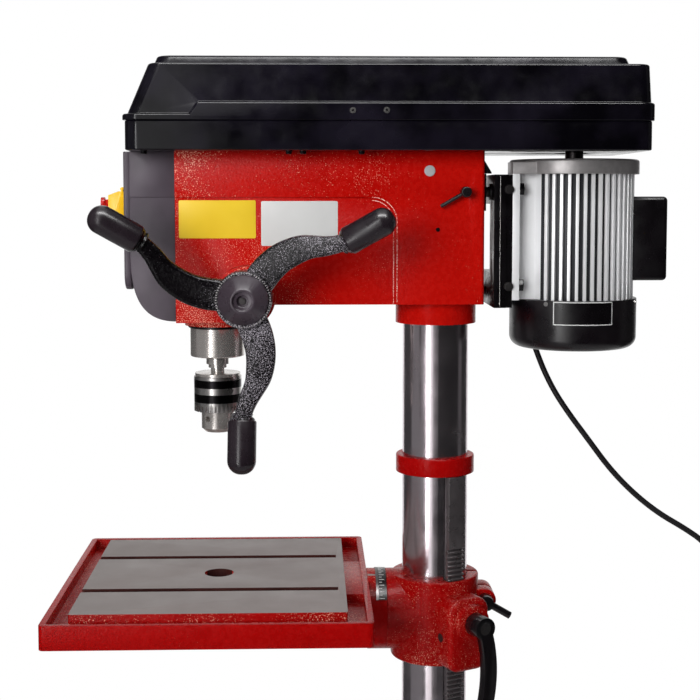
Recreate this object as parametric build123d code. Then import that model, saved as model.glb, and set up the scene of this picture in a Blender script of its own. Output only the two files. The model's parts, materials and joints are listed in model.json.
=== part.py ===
from build123d import *
import math
import os

# Frame: millimetres, +Z up, front (operator) towards -Y, feed handle on +X.
# The origin is on the floor, on the column's axis.

# Column
column_od = 90.0
column_wall = 6.0
column_socket_depth = 98.0

# Base casting
base_length = 560.0
base_width = 400.0
base_height = 58.0
base_rear = 150.0
base_wall = 16.0
base_top_thickness = 20.0
base_corner_radius = 40.0
base_edge_radius = 8.0
base_rib = 14.0
base_rib_spacing = 120.0
base_cross_ribs = (0.0, -130.0, -260.0)
base_pad_radius = 108.0
base_pad_height = 6.0
work_pad_length = 260.0
work_pad_width = 300.0
work_pad_height = 8.0
work_pad_reach = 390.0
base_slot_width = 14.0
base_slot_spacing = 150.0
floor_bolt_inset = 42.0
floor_hole_radius = 7.0
floor_boss_radius = 20.0

# Column flange on the base
flange_radius = 100.0
flange_thickness = 22.0
flange_boss_radius = 62.0
flange_boss_height = 108.0
flange_bolt_circle = 82.0
flange_bolt_radius = 7.0
flange_bolt_clearance = 0.6
flange_bolt_head_radius = 12.0
flange_bolt_head_height = 9.0
flange_rib = 12.0

# Head casting
spindle_reach = 300.0
head_bottom = 1322.0
head_height = 202.0
head_half_width = 70.0
head_rear = 58.0
head_front_overhang = 50.0
head_corner_radius = 5.0
head_wall = 12.0
panel_recess = 4.0
panel_drop = 60.0
panel_corner_radius = 33.0
quill_boss_radius = 44.0
quill_boss_drop = 32.0
front_block_drop = 24.0
column_collar_radius = 55.0
column_collar_drop = 29.0
cavity_from_spindle = 70.0
cavity_from_column = 75.0

# Quill, spindle and feed pinion
quill_radius = 31.0
quill_running_gap = 0.05
quill_nose_radius = 37.0
quill_nose_height = 39.0
quill_nose_gap = 4.0
quill_nose_edge = 2.0
quill_top_gap = 16.0
quill_travel = 120.0
rack_pitch_offset = 25.5
rack_cut_overrun = 5.0
rack_spare_teeth = 1
feed_module = 2.0
feed_teeth = 18
rack_addendum_share = 0.7
gear_dedendum_share = 1.25
gear_backlash = 0.5
feed_pinion_width = 20.0
feed_axis_rise = 14.0
feed_boss_radius = 39.5
feed_boss_face = 119.0
feed_journal_radius = 21.0
feed_tail_radius = 11.0
feed_seat_radius = 12.0
shaft_running_gap = 0.05
pocket_gap = 1.5
spindle_radius = 15.0
spindle_nose_radius = 15.5
spindle_nose_height = 11.0
spindle_step_radius = 12.5
spindle_step_height = 5.0
quill_bearing_radius = 23.0
quill_bearing_height = 15.0
spline_root_radius = 11.0
spline_tip_radius = 12.6
spline_width = 5.0
spline_count = 6
spline_gap = 0.3

# Chuck
arbor_neck_radius = 9.3
arbor_neck_height = 7.0
morse_mouth_radius = 9.0
morse_depth = 62.0
morse_taper = 0.05
chuck_taper_mouth_radius = 9.0
chuck_taper_depth = 20.0
chuck_taper_slope = 0.06
chuck_core_radius = 25.0
chuck_flange_radius = 31.0
chuck_flange_height = 4.0
chuck_sleeve_radius = 32.5
chuck_sleeve_height = 48.0
chuck_nose_radius = 22.5
chuck_nose_height = 29.0
chuck_nose_chamfer = 5.0
chuck_bore_radius = 8.2
chuck_gap = 0.3
chuck_teeth = 30
chuck_tooth_depth = 3.0
chuck_tooth_height = 9.0
chuck_key_radius = 4.0
chuck_key_azimuth = -35.0
jaw_radius = 5.0
jaw_tilt = 14.0
jaw_foot_radius = 9.0
jaw_length = 41.0
jaw_foot_rise = 2.0
jaw_travel = 20.0
jaw_closed_gap = 0.5

# Feed handle
spider_hub_radius = 36.0
spider_hub_edge = 3.0
spider_hub_length = 46.0
spider_hub_gap = 1.0
spider_arm_thickness = 18.0
spider_arm_edge = 5.0
spider_arm_offset = 17.0
spider_arm_lean = 13.0
spider_arm_count = 3
spider_first_arm = -90.5
arm_stations = (20.0, 37.0, 57.0, 76.0, 92.0, 107.0, 121.0, 136.0, 155.0)
arm_offsets = (5.0, 13.0, 19.7, 22.4, 21.5, 18.5, 12.0, 5.4, 0.0)
arm_half_widths = (22.0, 21.8, 20.2, 18.6, 17.5, 16.0, 14.5, 12.0, 11.0)
grip_radius = 18.0
grip_edge = 1.5
grip_tip_flat = 1.0
grip_length = 67.0
grip_stud_radius = 6.0
grip_stud_length = 45.0
grip_stud_root = 4.0
hub_cap_radius = 31.5
hub_cap_rim = 3.0
hub_cap_height = 20.0
hub_cap_face_radius = 12.0
hub_cap_recess = 3.0
hub_cap_hole_radius = 7.0
hub_cap_hole_depth = 5.0

# Return spring
spring_housing_radius = 41.0
spring_housing_depth = 36.0
spring_housing_wall = 3.0
spring_thickness = 1.2
spring_turns = 6
spring_width = 16.0
spring_inner_gap = 1.0

# Front cover and switch
front_cover_depth = 59.5
front_cover_half_width = 64.0
front_cover_wall = 4.0
front_cover_step = 1.5
front_cover_nose = 133.0
front_cover_foot = 2.0
switch_plate_thickness = 9.0
switch_plate_half_width = 56.0
switch_plate_length = 183.0
switch_plate_corner = 22.0
switch_height = 62.0
switch_width = 44.0
switch_depth = 34.0
switch_top_drop = 50.0
switch_rim = 4.0
switch_rim_thickness = 3.0
button_radius = 8.0
button_height = 5.0
button_stem = 10.0
button_travel = 3.0
button_gap = 0.3
button_spacing = 24.0
flap_depth = 21.5
flap_shoulder = 5.3
flap_wall = 2.5
flap_gap = 0.5
flap_hinge_radius = 3.0
stop_knob_radius = 8.0
stop_knob_depth = 13.0
stop_knob_stem = 5.0
stop_knob_flange = 2.0
stop_knob_lip = 5.0
stop_knob_rise = 13.0
stop_knob_travel = 3.0
stop_knob_gap = 0.3

# Belt cover
cover_half_width = 122.0
cover_front = 409.0
cover_rear = 269.5
cover_corner_radius = 19.0
cover_wall = 3.0
tray_height = 38.0
lid_side_height = 72.0
lid_crown = 13.0
lid_side_draft = 1.0
lid_front_slope = 31.0
lid_rear_slope = 4.5
lid_plateau_inset = 36.0
lid_plateau_front = 2.0
lid_plateau_rear = 16.0
lid_plateau_draft = 5.0
rim_height = 23.0
rim_front_height = 8.0
rim_step_from_front = 84.0
rim_step_run = 10.0
rim_proud = 3.0
hinge_radius = 6.0
hinge_stand_off = 1.0
hinge_pin_radius = 3.0
hinge_pin_gap = 0.1
hinge_knuckle = 24.0
hinge_knuckle_gap = 0.6
hinge_stations = (-250.0, 130.0)

# Pulleys and belts
pulley_rise = 8.0
pulley_step = 20.0
spindle_pulley_radii = (85.0, 75.0, 65.0, 55.0)
idler_pulley_radii = (45.0, 55.0, 65.0, 75.0)
motor_pulley_radii = (65.0, 55.0, 45.0, 35.0)
pulley_grooves = ("bottom", "lower", "upper", "top")
spindle_belt_groove = "bottom"
motor_belt_groove = "upper"
groove_half_width = 6.5
groove_root_half_width = 4.2
groove_depth = 9.0
belt_gap = 0.4
pulley_hub_radius = 20.0
pulley_bearing_radius = 34.0
pulley_bearing_height = 16.0
bearing_seat_depth = 20.0
tray_hole_gap = 3.0
idler_y = -30.0
idler_stud_radius = 10.0
idler_thread_radius = 8.0
idler_thread_depth = 30.0
idler_flange_radius = 17.0
idler_bearing_radius = 19.0
idler_bearing_height = 14.0

# Motor and its carriage
motor_y = 189.5
motor_travel = 10.0
motor_top_gap = 9.0
motor_body_radius = 81.5
motor_shell_radius = 74.0
motor_shell_wall = 5.0
motor_fin_count = 48
motor_fin_thickness = 4.0
motor_fin_start = 47.0
motor_foot_turn = 270.0
motor_cowl_height = 68.0
motor_cowl_radius = 86.5
motor_cowl_edge = 16.0
motor_cowl_wall = 3.0
motor_body_height = 168.0
motor_shield_radius = 88.0
motor_shield_height = 20.0
motor_shield_edge = 4.0
shield_lug_inner = 15.0
motor_foot_half_width = 62.0
motor_foot_thickness = 9.5
motor_neck_half_width = 43.0
motor_shaft_radius = 12.5
rotor_radius = 45.0
rotor_length = 100.0
stator_gap = 1.0
capacitor_half_width = 32.0
capacitor_depth = 41.5
capacitor_height = 114.0
capacitor_rise = 24.0
capacitor_corner = 7.0
capacitor_edge = 6.0
plate_gap = 13.5
plate_thickness = 8.0
plate_half_width = 66.0
plate_back_half_width = 65.0
plate_height = 177.0
plate_drop = 21.0
clip_half_width = 62.0
plate_window_side = 20.0
plate_window_rise = 45.0
plate_window_drop = 39.0
clip_thickness = 8.5
bar_radius = 7.0
bar_upper_x = 30.0
bar_upper_drop = 53.0
bar_lower_x = -55.0
bar_lower_rise = 10.0
bar_depth = 30.0
bar_shoulder_radius = 11.0
bar_shoulder_gap = 0.6
foot_bolt_radius = 5.0
foot_bolt_head_radius = 9.0
foot_bolt_head_height = 6.5
foot_bolt_spread = 53.0
foot_bolt_inset = 20.0
foot_bolt_bar_gap = 3.0

# Belt tension lock lever
lever_y = 31.5
lever_hub_radius = 7.0
lever_hub_edge = 2.0
lever_hub_length = 20.0
lever_hub_gap = 0.5
lever_stem_radius = 4.5
lever_stem_depth = 32.5
lever_rod_radius = 2.5
lever_rod_length = 38.0
lever_rod_angle = 210.0

# Rack, its ring, and the table lift
ring_radius = 54.0
ring_bottom = 1086.0
ring_height = 24.0
ring_edge = 2.0
rack_azimuth = 27.0
rack_width = 25.0
rack_clearance = 0.4
rack_back = 6.6
lift_module = 2.0
lift_teeth = 12
rack_plain_top = 95.0
rack_plain_bottom = 40.0
rack_tongue = 4.0
rack_tongue_height = 6.0
tongue_gap = 0.6
lift_pinion_width = 16.0
lift_journal_radius = 6.0
worm_radius = 10.0
worm_gap = 0.5

# Table bracket
bracket_bottom = 827.0
bracket_height = 116.0
bracket_radius = 61.0
bracket_gap = 0.3
bracket_edge = 3.0
crank_rise = 69.0
gear_case_reach = 90.0
gear_case_half_width = 32.0
gear_case_below = 69.0
gear_case_above = 30.0
gear_case_edge = 8.0
gear_case_corner = 18.0
crank_boss_radius = 24.0
crank_boss_face = 100.0
crank_shaft_radius = 8.0
crank_hub_radius = 15.0
crank_hub_length = 26.0
crank_hub_gap = 1.0
crank_length = 118.0
crank_arm_width = 19.0
crank_arm_thickness = 12.0
crank_arm_bow = 9.0
crank_pin_radius = 5.0
crank_grip_radius = 12.0
crank_grip_length = 72.0
crank_grip_gap = 0.3
crank_grip_edge = 2.0
lug_half_width = 24.0
lug_slit = 6.0
lug_radius = 15.0
clamp_y = 68.5
clamp_drop = 35.0
clamp_screw_radius = 6.0
clamp_screw_gap = 0.3
clamp_hub_radius = 10.0
clamp_hub_length = 18.0
clamp_rod_radius = 5.0
clamp_rod_length = 38.0
clamp_rod_angle = -30.0

# Table
tilt_axis_rise = 64.0
tilt_hub_radius = 55.0
tilt_hub_thickness = 26.0
tilt_face = 68.0
tilt_bolt_radius = 10.0
tilt_bolt_head_radius = 16.0
tilt_bolt_head_height = 12.0
tilt_bolt_gap = 0.3
tilt_bolt_thread = 18.0
table_length = 415.0
table_width = 424.0
table_corner = 7.0
table_rim_rise = 16.0
table_rim_height = 31.0
table_rim_wall = 8.0
gutter_depth = 15.0
platform_length = 351.0
platform_width = 364.0
platform_rise = 36.0
platform_plate = 18.0
platform_wall = 10.0
platform_corner = 3.0
platform_front_gutter = 24.0
gutter_floor = 7.0
gutter_pad_half_width = 80.0
gutter_pad_drop = 3.0
table_hole_radius = 20.0
table_slot_width = 14.0
table_slot_t_width = 24.0
table_slot_lip = 8.0
table_slot_depth = 15.0
table_slot_spacing = 160.0
table_slot_end = 10.0
table_rib = 10.0
table_rib_spacing = 76.0
table_rib_depth = 46.0
table_rib_length = 230.0

# Mains cord: 8.5 mm round lead from the gland on the left of the head to the floor behind the base
cord_radius = 4.25
gland_radius = 10.0
gland_tip_radius = 6.0
gland_nut_radius = 13.0
gland_nut_length = 8.0
gland_length = 30.0
plug_length = 44.0
plug_width = 34.0
plug_height = 24.0
plug_pin_radius = 2.4
plug_pin_length = 19.0
plug_pin_spacing = 19.0
cord_route = (
    (-100.0, 20.0, 1335.0),
    (-120.0, 20.0, 1335.0),
    (-142.2, 24.4, 1334.2),
    (-161.0, 37.0, 1332.5),
    (-173.6, 55.8, 1330.0),
    (-178.0, 78.0, 1327.0),
    (-177.0, 98.0, 1324.0),
    (-172.0, 118.0, 1316.0),
    (-165.0, 135.0, 1302.0),
    (-157.0, 148.0, 1283.0),
    (-148.0, 157.0, 1259.0),
    (-139.0, 165.0, 1233.0),
    (-129.0, 175.0, 1205.0),
    (-120.0, 189.0, 1176.0),
    (-113.0, 209.0, 1145.0),
    (-110.0, 236.0, 1109.0),
    (-110.0, 270.0, 1063.0),
    (-110.0, 307.0, 1025.0),
    (-110.0, 345.0, 995.0),
    (-110.0, 383.0, 973.0),
    (-110.0, 416.0, 950.0),
    (-110.0, 437.0, 913.0),
    (-110.0, 444.0, 866.0),
    (-111.0, 448.0, 796.0),
    (-112.0, 450.0, 700.0),
    (-112.0, 449.0, 596.0),
    (-111.0, 447.0, 490.0),
    (-110.0, 447.0, 384.0),
    (-109.0, 448.0, 284.0),
    (-109.0, 449.0, 194.0),
    (-109.0, 446.0, 118.0),
    (-109.0, 434.0, 62.0),
    (-109.0, 410.0, 24.0),
    (-109.0, 374.0, 7.0),
    (-108.0, 330.0, 5.0),
    (-105.0, 292.0, 8.0),
    (-103.0, 262.0, 11.5),
    (-102.0, 238.0, 12.0),
)

# Heights and places worked out from the sizes above
base_pad_top = base_height + base_pad_height
flange_top = base_pad_top + flange_thickness + flange_boss_height
column_radius = column_od / 2
spindle_y = -spindle_reach
head_top = head_bottom + head_height
head_front = spindle_y - head_front_overhang
column_top = head_bottom + column_socket_depth
panel_half_width = head_half_width - panel_recess
boss_bottom = head_bottom - quill_boss_drop
front_block_bottom = head_bottom - front_block_drop
collar_bottom = head_bottom - column_collar_drop
feed_pitch_radius = feed_module * feed_teeth / 2
feed_axis_y = spindle_y + rack_pitch_offset + feed_pitch_radius
feed_axis_z = head_bottom + feed_axis_rise
feed_tip_radius = feed_pitch_radius + feed_module
bearing_seat_z = head_top - bearing_seat_depth
quill_top = bearing_seat_z - quill_top_gap
quill_nose_top = boss_bottom - quill_nose_gap
quill_nose_bottom = quill_nose_top - quill_nose_height
spindle_end = quill_nose_bottom - spindle_nose_height - spindle_step_height
chuck_top = spindle_end - arbor_neck_height
chuck_sleeve_top = chuck_top - chuck_flange_height
chuck_sleeve_bottom = chuck_sleeve_top - chuck_sleeve_height
chuck_bottom = chuck_sleeve_bottom - chuck_nose_height
tray_floor = head_top + cover_wall
tray_top = head_top + tray_height
lid_shoulder = tray_top + lid_side_height
lid_top = lid_shoulder + lid_crown
pulley_z = head_top + pulley_rise
pulley_top = pulley_z + pulley_step * len(spindle_pulley_radii)
spindle_top = pulley_top + pulley_rise
cover_middle = (cover_rear - cover_front) / 2
cover_length = cover_rear + cover_front
hinge_x = -(cover_half_width + rim_proud + hinge_radius + hinge_stand_off)
motor_top = head_top - motor_top_gap
motor_body_top = motor_top - motor_shield_height
motor_body_bottom = motor_body_top - motor_body_height
motor_bottom = motor_body_bottom - motor_cowl_height
plate_top = motor_top - plate_drop
plate_bottom = plate_top - plate_height
plate_front = head_rear + plate_gap
clip_front = plate_front + 2 * plate_thickness
clip_rear = clip_front + clip_thickness
bar_shoulder_front = head_rear + motor_travel + bar_shoulder_gap
bar_upper_z = head_top - bar_upper_drop
bar_lower_z = head_bottom + bar_lower_rise
lift_pitch_radius = lift_module * lift_teeth / 2
lift_tip_radius = lift_pitch_radius + rack_addendum_share * lift_module
rack_inner = column_radius + rack_clearance
rack_root = rack_inner + rack_back
rack_pitch_radius = rack_root + gear_dedendum_share * lift_module
rack_tip = rack_pitch_radius + rack_addendum_share * lift_module
lift_axis_radius = rack_pitch_radius + lift_pitch_radius
tongue_groove_radius = math.hypot(rack_inner + rack_tongue, rack_width / 2) + tongue_gap
crank_z = bracket_bottom + crank_rise
lift_axis_z = crank_z - worm_radius - lift_tip_radius - worm_gap
bracket_top = bracket_bottom + bracket_height
tilt_z = bracket_bottom + tilt_axis_rise
table_rim_bottom = tilt_z + table_rim_rise
table_rear = -(tilt_face + tilt_hub_thickness)
table_front = table_rear - table_length
table_middle = (table_front + table_rear) / 2
platform_top = table_rim_bottom + platform_rise
platform_front = table_front + table_rim_wall + platform_front_gutter
platform_rear = platform_front + platform_length
platform_middle = (platform_front + platform_rear) / 2
clamp_z = bracket_top - clamp_drop


# A drawing plane seen from the feed handle's side: across is +Y, up is +Z, towards the viewer is +X
side_plane = Plane.YZ.location


# Shape helpers
def block(x0, x1, y0, y1, z0, z1):
    """Rectangular block between two corners."""
    return Pos((x0 + x1) / 2, (y0 + y1) / 2, (z0 + z1) / 2) * Box(x1 - x0, y1 - y0, z1 - z0)


def post(radius, z0, z1, x=0.0, y=0.0):
    """Upright cylinder between two heights."""
    return Pos(x, y, (z0 + z1) / 2) * Cylinder(radius, z1 - z0)


def bar_x(radius, x0, x1, y, z):
    """Cylinder along X."""
    return Pos((x0 + x1) / 2, y, z) * Rot(0, 90, 0) * Cylinder(radius, x1 - x0)


def bar_y(radius, y0, y1, x, z):
    """Cylinder along Y."""
    return Pos(x, (y0 + y1) / 2, z) * Rot(90, 0, 0) * Cylinder(radius, y1 - y0)


def slab(width, length, radius, z0, z1, x=0.0, y=0.0):
    """Upright prism with rounded corners."""
    return extrude(Pos(x, y, z0) * RectangleRounded(width, length, radius), z1 - z0)


def turned(points):
    """Solid of revolution about Z from (radius, height) points."""
    outline = Polyline(*[(r, 0, z) for r, z in points], close=True)
    return revolve(make_face(outline), Axis.Z)


def along_x(shape, y, z):
    """Lay a shape made about Z along +X, at the given line."""
    return Pos(0, y, z) * Rot(0, 90, 0) * shape


def prism_x(points, x0, x1):
    """Extrude a (Y, Z) outline along X."""
    outline = Polyline(*[(x0, y, z) for y, z in points], close=True)
    return extrude(make_face(outline), x1 - x0, dir=(1, 0, 0))


def hexagon(radius, z0, z1):
    """Upright hexagonal prism by its corner radius."""
    return extrude(Pos(0, 0, z0) * RegularPolygon(radius, 6), z1 - z0)


def gear_points(module, teeth, addendum):
    """Involute gear outline with one tooth on the first axis."""
    pitch = module * teeth / 2
    base = pitch * math.cos(math.radians(20))
    tip = pitch + addendum
    root = pitch - gear_dedendum_share * module
    half_pitch = (math.pi * module / 2 - gear_backlash) / 2 / pitch
    involute_pitch = math.tan(math.radians(20)) - math.radians(20)

    def half_angle(radius):
        """Half of the tooth's angle at a radius."""
        pressure = math.acos(min(1.0, base / max(radius, base)))
        return half_pitch + involute_pitch - (math.tan(pressure) - pressure)

    radii = [root, max(root + 0.05, base), pitch, (pitch + tip) / 2, tip]
    points = []
    for tooth in range(teeth):
        middle = 2 * math.pi * tooth / teeth
        rising = [(r, middle - half_angle(r)) for r in radii]
        falling = [(r, middle + half_angle(r)) for r in reversed(radii)]
        points += [(r * math.cos(a), r * math.sin(a)) for r, a in rising + falling]
    return points


def gear(module, teeth, addendum, width):
    """Spur gear about Z, centred on the middle of its width."""
    outline = Polyline(*gear_points(module, teeth, addendum), close=True)
    return extrude(Pos(0, 0, -width / 2) * make_face(outline), width)


def rack_grooves(module, middle, first, count):
    """Corner points (offset from the pitch line, height) of rack grooves going up, out of the tooth tips."""
    pitch = math.pi * module
    rise = rack_addendum_share * module
    fall = gear_dedendum_share * module
    slope = math.tan(math.radians(20))
    wide = pitch / 4 + rise * slope
    narrow = pitch / 4 - fall * slope
    points = []
    for index in range(first, first + count):
        height = middle + index * pitch
        points += [(rise, height - wide), (-fall, height - narrow)]
        points += [(-fall, height + narrow), (rise, height + wide)]
    return points


def turned_to_rack(shape):
    """Turn a shape made on +X to the rack's side of the column."""
    return Rot(0, 0, rack_azimuth) * shape


def group(shapes):
    """Separate solids in one node."""
    return Compound(children=list(shapes))


# Base, column and column flange
def floor_bolt_places():
    """Centres of the four floor bolts."""
    reach = base_width / 2 - floor_bolt_inset
    front = base_rear - base_length + floor_bolt_inset
    rear = base_rear - floor_bolt_inset
    return [(x, y) for x in (-reach, reach) for y in (front, rear)]


def flange_bolt_places():
    """Centres of the bolts that hold the column flange."""
    return [
        (flange_bolt_circle * math.cos(math.radians(a)), flange_bolt_circle * math.sin(math.radians(a)))
        for a in (45, 135, 225, 315)
    ]


def make_base():
    """Cast base: a hollow box with ribs, a work pad with two slots and a pad for the column flange."""
    middle = base_rear - base_length / 2
    shell = slab(base_width, base_length, base_corner_radius, 0, base_height, y=middle)
    shell = fillet(shell.edges().group_by(Axis.Z)[-1], base_edge_radius)
    hollow_corner = base_corner_radius - base_wall
    hollow = slab(base_width - 2 * base_wall, base_length - 2 * base_wall, hollow_corner,
                  0, base_height - base_top_thickness, y=middle)
    casting = shell - hollow
    half = base_width / 2 - base_wall
    under = base_height - base_top_thickness
    for side in (-1, 1):
        x = side * base_rib_spacing / 2
        casting += block(x - base_rib / 2, x + base_rib / 2, base_rear - base_length + base_wall,
                         base_rear - base_wall, 0, under)
    for y in base_cross_ribs:
        casting += block(-half, half, y - base_rib / 2, y + base_rib / 2, 0, under)
    for x, y in floor_bolt_places():
        casting += post(floor_boss_radius, 0, base_height - base_top_thickness, x, y)
    casting += post(base_pad_radius, base_height - base_top_thickness, base_pad_top)
    pad_middle = -work_pad_reach + work_pad_length / 2
    pad_top = base_height + work_pad_height
    casting += slab(work_pad_width, work_pad_length, base_edge_radius, base_height - base_edge_radius,
                    pad_top, y=pad_middle)
    for side in (-1, 1):
        x = side * base_slot_spacing / 2
        casting -= block(x - base_slot_width / 2, x + base_slot_width / 2, -work_pad_reach,
                         -work_pad_reach + work_pad_length, base_height, pad_top)
    for x, y in floor_bolt_places():
        casting -= post(floor_hole_radius, 0, base_height, x, y)
    for x, y in flange_bolt_places():
        casting -= post(flange_bolt_radius, base_height - base_top_thickness, base_pad_top, x, y)
    return casting


def make_column_flange():
    """Round flange with a tall socket, four ribs and a groove that the rack's foot turns in."""
    seat = base_pad_top
    body = post(flange_radius, seat, seat + flange_thickness)
    body = fillet(body.edges().group_by(Axis.Z)[-1], flange_thickness / 4)
    body += post(flange_boss_radius, seat, flange_top)
    rib_top = seat + flange_thickness + flange_boss_height / 2
    outline = [(0, seat), (flange_radius - flange_thickness / 2, seat),
               (flange_radius - flange_thickness / 2, seat + flange_thickness / 2),
               (flange_boss_radius - 1, rib_top), (0, rib_top)]
    for turn in (0, 90, 180, 270):
        body += Rot(0, 0, turn) * prism_x(outline, -flange_rib / 2, flange_rib / 2)
    body -= post(column_radius, seat, flange_top)
    body -= post(tongue_groove_radius, flange_top - rack_tongue_height - tongue_gap, flange_top)
    for x, y in flange_bolt_places():
        body -= post(flange_bolt_radius + flange_bolt_clearance, seat, seat + flange_thickness, x, y)
    return body


def make_flange_bolts():
    """Four hexagon bolts from the flange into the base."""
    seat = base_pad_top + flange_thickness
    bolts = []
    for x, y in flange_bolt_places():
        shank = post(flange_bolt_radius, base_height - base_top_thickness, seat)
        head = hexagon(flange_bolt_head_radius, seat, seat + flange_bolt_head_height)
        bolts.append(Pos(x, y, 0) * (shank + head))
    return group(bolts)


def make_column():
    """Steel tube from the base pad to the end of the head's socket."""
    bore = post(column_radius - column_wall, base_pad_top, column_top)
    return post(column_radius, base_pad_top, column_top) - bore


# Head casting
def recess_face(x0, x1):
    """Recess of the head's side panel, with a round upper rear corner."""
    top = head_top - panel_drop
    rear = -head_rear
    front = head_front - 1
    low = boss_bottom - 1
    bend = panel_corner_radius
    lines = [
        Line((x0, front, low), (x0, rear, low)),
        Line((x0, rear, low), (x0, rear, top - bend)),
        Line((x0, rear - bend, top), (x0, front, top)),
        Line((x0, front, top), (x0, front, low)),
        ThreePointArc((x0, rear, top - bend),
                      (x0, rear - bend + bend * math.sqrt(0.5), top - bend + bend * math.sqrt(0.5)),
                      (x0, rear - bend, top)),
    ]
    return extrude(make_face(lines), x1 - x0, dir=(1, 0, 0))


def bar_places():
    """X and Z of the two carriage bars."""
    return [(bar_upper_x, bar_upper_z), (bar_lower_x, bar_lower_z)]


def make_head_casting():
    """Head: column socket, hollow arm, quill bore, feed shaft bores and carriage bar bores."""
    body = slab(2 * head_half_width, 2 * head_rear, head_corner_radius, head_bottom, head_top)
    arm = block(-head_half_width, head_half_width, head_front, 0, head_bottom, head_top)
    for side in (-1, 1):
        inner = side * panel_half_width
        outer = side * (head_half_width + 1)
        arm -= recess_face(min(inner, outer), max(inner, outer))
    body += arm
    body += block(-panel_half_width, panel_half_width, head_front, feed_axis_y, front_block_bottom, head_top)
    body += post(quill_boss_radius, boss_bottom, head_top, y=spindle_y)
    body += post(column_collar_radius, collar_bottom, head_top)
    body += bar_x(feed_boss_radius, -head_half_width, feed_boss_face, feed_axis_y, feed_axis_z)
    body -= block(-panel_half_width + head_wall, panel_half_width - head_wall,
                  spindle_y + cavity_from_spindle, -cavity_from_column, head_bottom + head_wall, head_top)
    body -= post(column_radius, collar_bottom, column_top)
    bore_bottom = min(boss_bottom, front_block_bottom, feed_axis_z - feed_boss_radius)
    body -= post(quill_radius + quill_running_gap, bore_bottom, bearing_seat_z, y=spindle_y)
    body -= post(pulley_bearing_radius, bearing_seat_z, head_top, y=spindle_y)
    half_pinion = feed_pinion_width / 2 + pocket_gap
    body -= bar_x(feed_tip_radius + pocket_gap, -half_pinion, half_pinion, feed_axis_y, feed_axis_z)
    body -= bar_x(feed_journal_radius + shaft_running_gap, 0, feed_boss_face, feed_axis_y, feed_axis_z)
    body -= bar_x(feed_tail_radius + shaft_running_gap, -head_half_width, 0, feed_axis_y, feed_axis_z)
    body -= post(idler_thread_radius, head_top - idler_thread_depth, head_top, y=idler_y)
    for x, z in bar_places():
        body -= bar_y(bar_radius + shaft_running_gap, bar_depth - motor_travel - 1, head_rear, x, z)
    body -= bar_x(lever_stem_radius + lever_hub_gap, head_half_width - lever_stem_depth - 1, head_half_width,
                  lever_y, bar_upper_z)
    return body


# Front cover and switch
def cover_profile(inset):
    """Side outline of the front cover's moulding, drawn in by a wall thickness."""
    front = head_front - front_cover_depth + inset
    top = head_top - inset
    chin = head_top - front_cover_nose
    foot = front_block_bottom + front_cover_foot + inset
    x = -front_cover_half_width + inset
    lines = [
        Line((x, head_front, foot), (x, head_front, top)),
        Line((x, head_front, top), (x, front, top)),
        Line((x, front, top), (x, front, chin)),
        Spline((x, front, chin), (x, head_front, foot), tangents=((0, 0, -1), (0, 1, 0))),
    ]
    return extrude(make_face(lines), 2 * (front_cover_half_width - inset), dir=(1, 0, 0))


switch_front = head_front - front_cover_depth - switch_plate_thickness
switch_top = head_top - switch_top_drop
switch_bottom = switch_top - switch_height
switch_middle = (switch_top + switch_bottom) / 2
button_face = switch_front - switch_rim_thickness
flap_hinge_y = button_face - flap_hinge_radius
flap_hinge_z = switch_top + switch_rim - flap_hinge_radius


def switch_opening():
    """Block through the plate and cover that the switch body fills."""
    return block(-switch_width / 2, switch_width / 2, switch_front, switch_front + switch_depth,
                 switch_bottom, switch_top)


def make_front_cover():
    """Moulded cover on the front of the head with a wider upper part, open towards the head."""
    wide = front_cover_half_width + front_cover_step
    upper = block(-wide, wide, head_front - front_cover_depth, head_front, head_top - panel_drop, head_top)
    return cover_profile(0) + upper - cover_profile(front_cover_wall) - switch_opening()


def make_switch_plate():
    """Flat front plate with a rounded foot."""
    rear = head_front - front_cover_depth
    plate = block(-switch_plate_half_width, switch_plate_half_width, switch_front, rear,
                  head_top - switch_plate_length, head_top)
    corners = plate.edges().filter_by(Axis.Y).group_by(Axis.Z)[0]
    plate = fillet(corners, switch_plate_corner)
    return plate - switch_opening()


def button_height_at(side):
    """Height of a push button: start above, stop below."""
    return switch_middle + side * button_spacing / 2


def make_switch_body():
    """Switch block with a rim on the plate and two button wells."""
    half = switch_width / 2
    body = switch_opening()
    body += block(-half - switch_rim, half + switch_rim, button_face, switch_front,
                  switch_bottom - switch_rim, switch_top + switch_rim)
    well = button_stem + button_travel + 1
    for side in (-1, 1):
        body -= bar_y(button_radius + button_gap, button_face, button_face + well, 0, button_height_at(side))
    return body


def make_button(side):
    """Push button with a stem in its well."""
    z = button_height_at(side)
    cap = bar_y(button_radius, button_face - button_height, button_face + button_stem, 0, z)
    return chamfer(cap.edges().group_by(Axis.Y)[0], button_height / 5)


def flap_outline(inset):
    """Side outline of the hinged flap, bulging forwards."""
    rear = button_face - flap_gap
    top = switch_top + switch_rim - 2 * flap_hinge_radius - inset
    low = switch_bottom - switch_rim + inset
    front = button_face - flap_depth + inset
    return [(rear, low), (rear, top), (rear - flap_depth / 3, top), (front, top - flap_shoulder),
            (front, low + flap_shoulder), (rear - flap_depth / 2, low)]


stop_knob_z = switch_middle + stop_knob_rise


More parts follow.
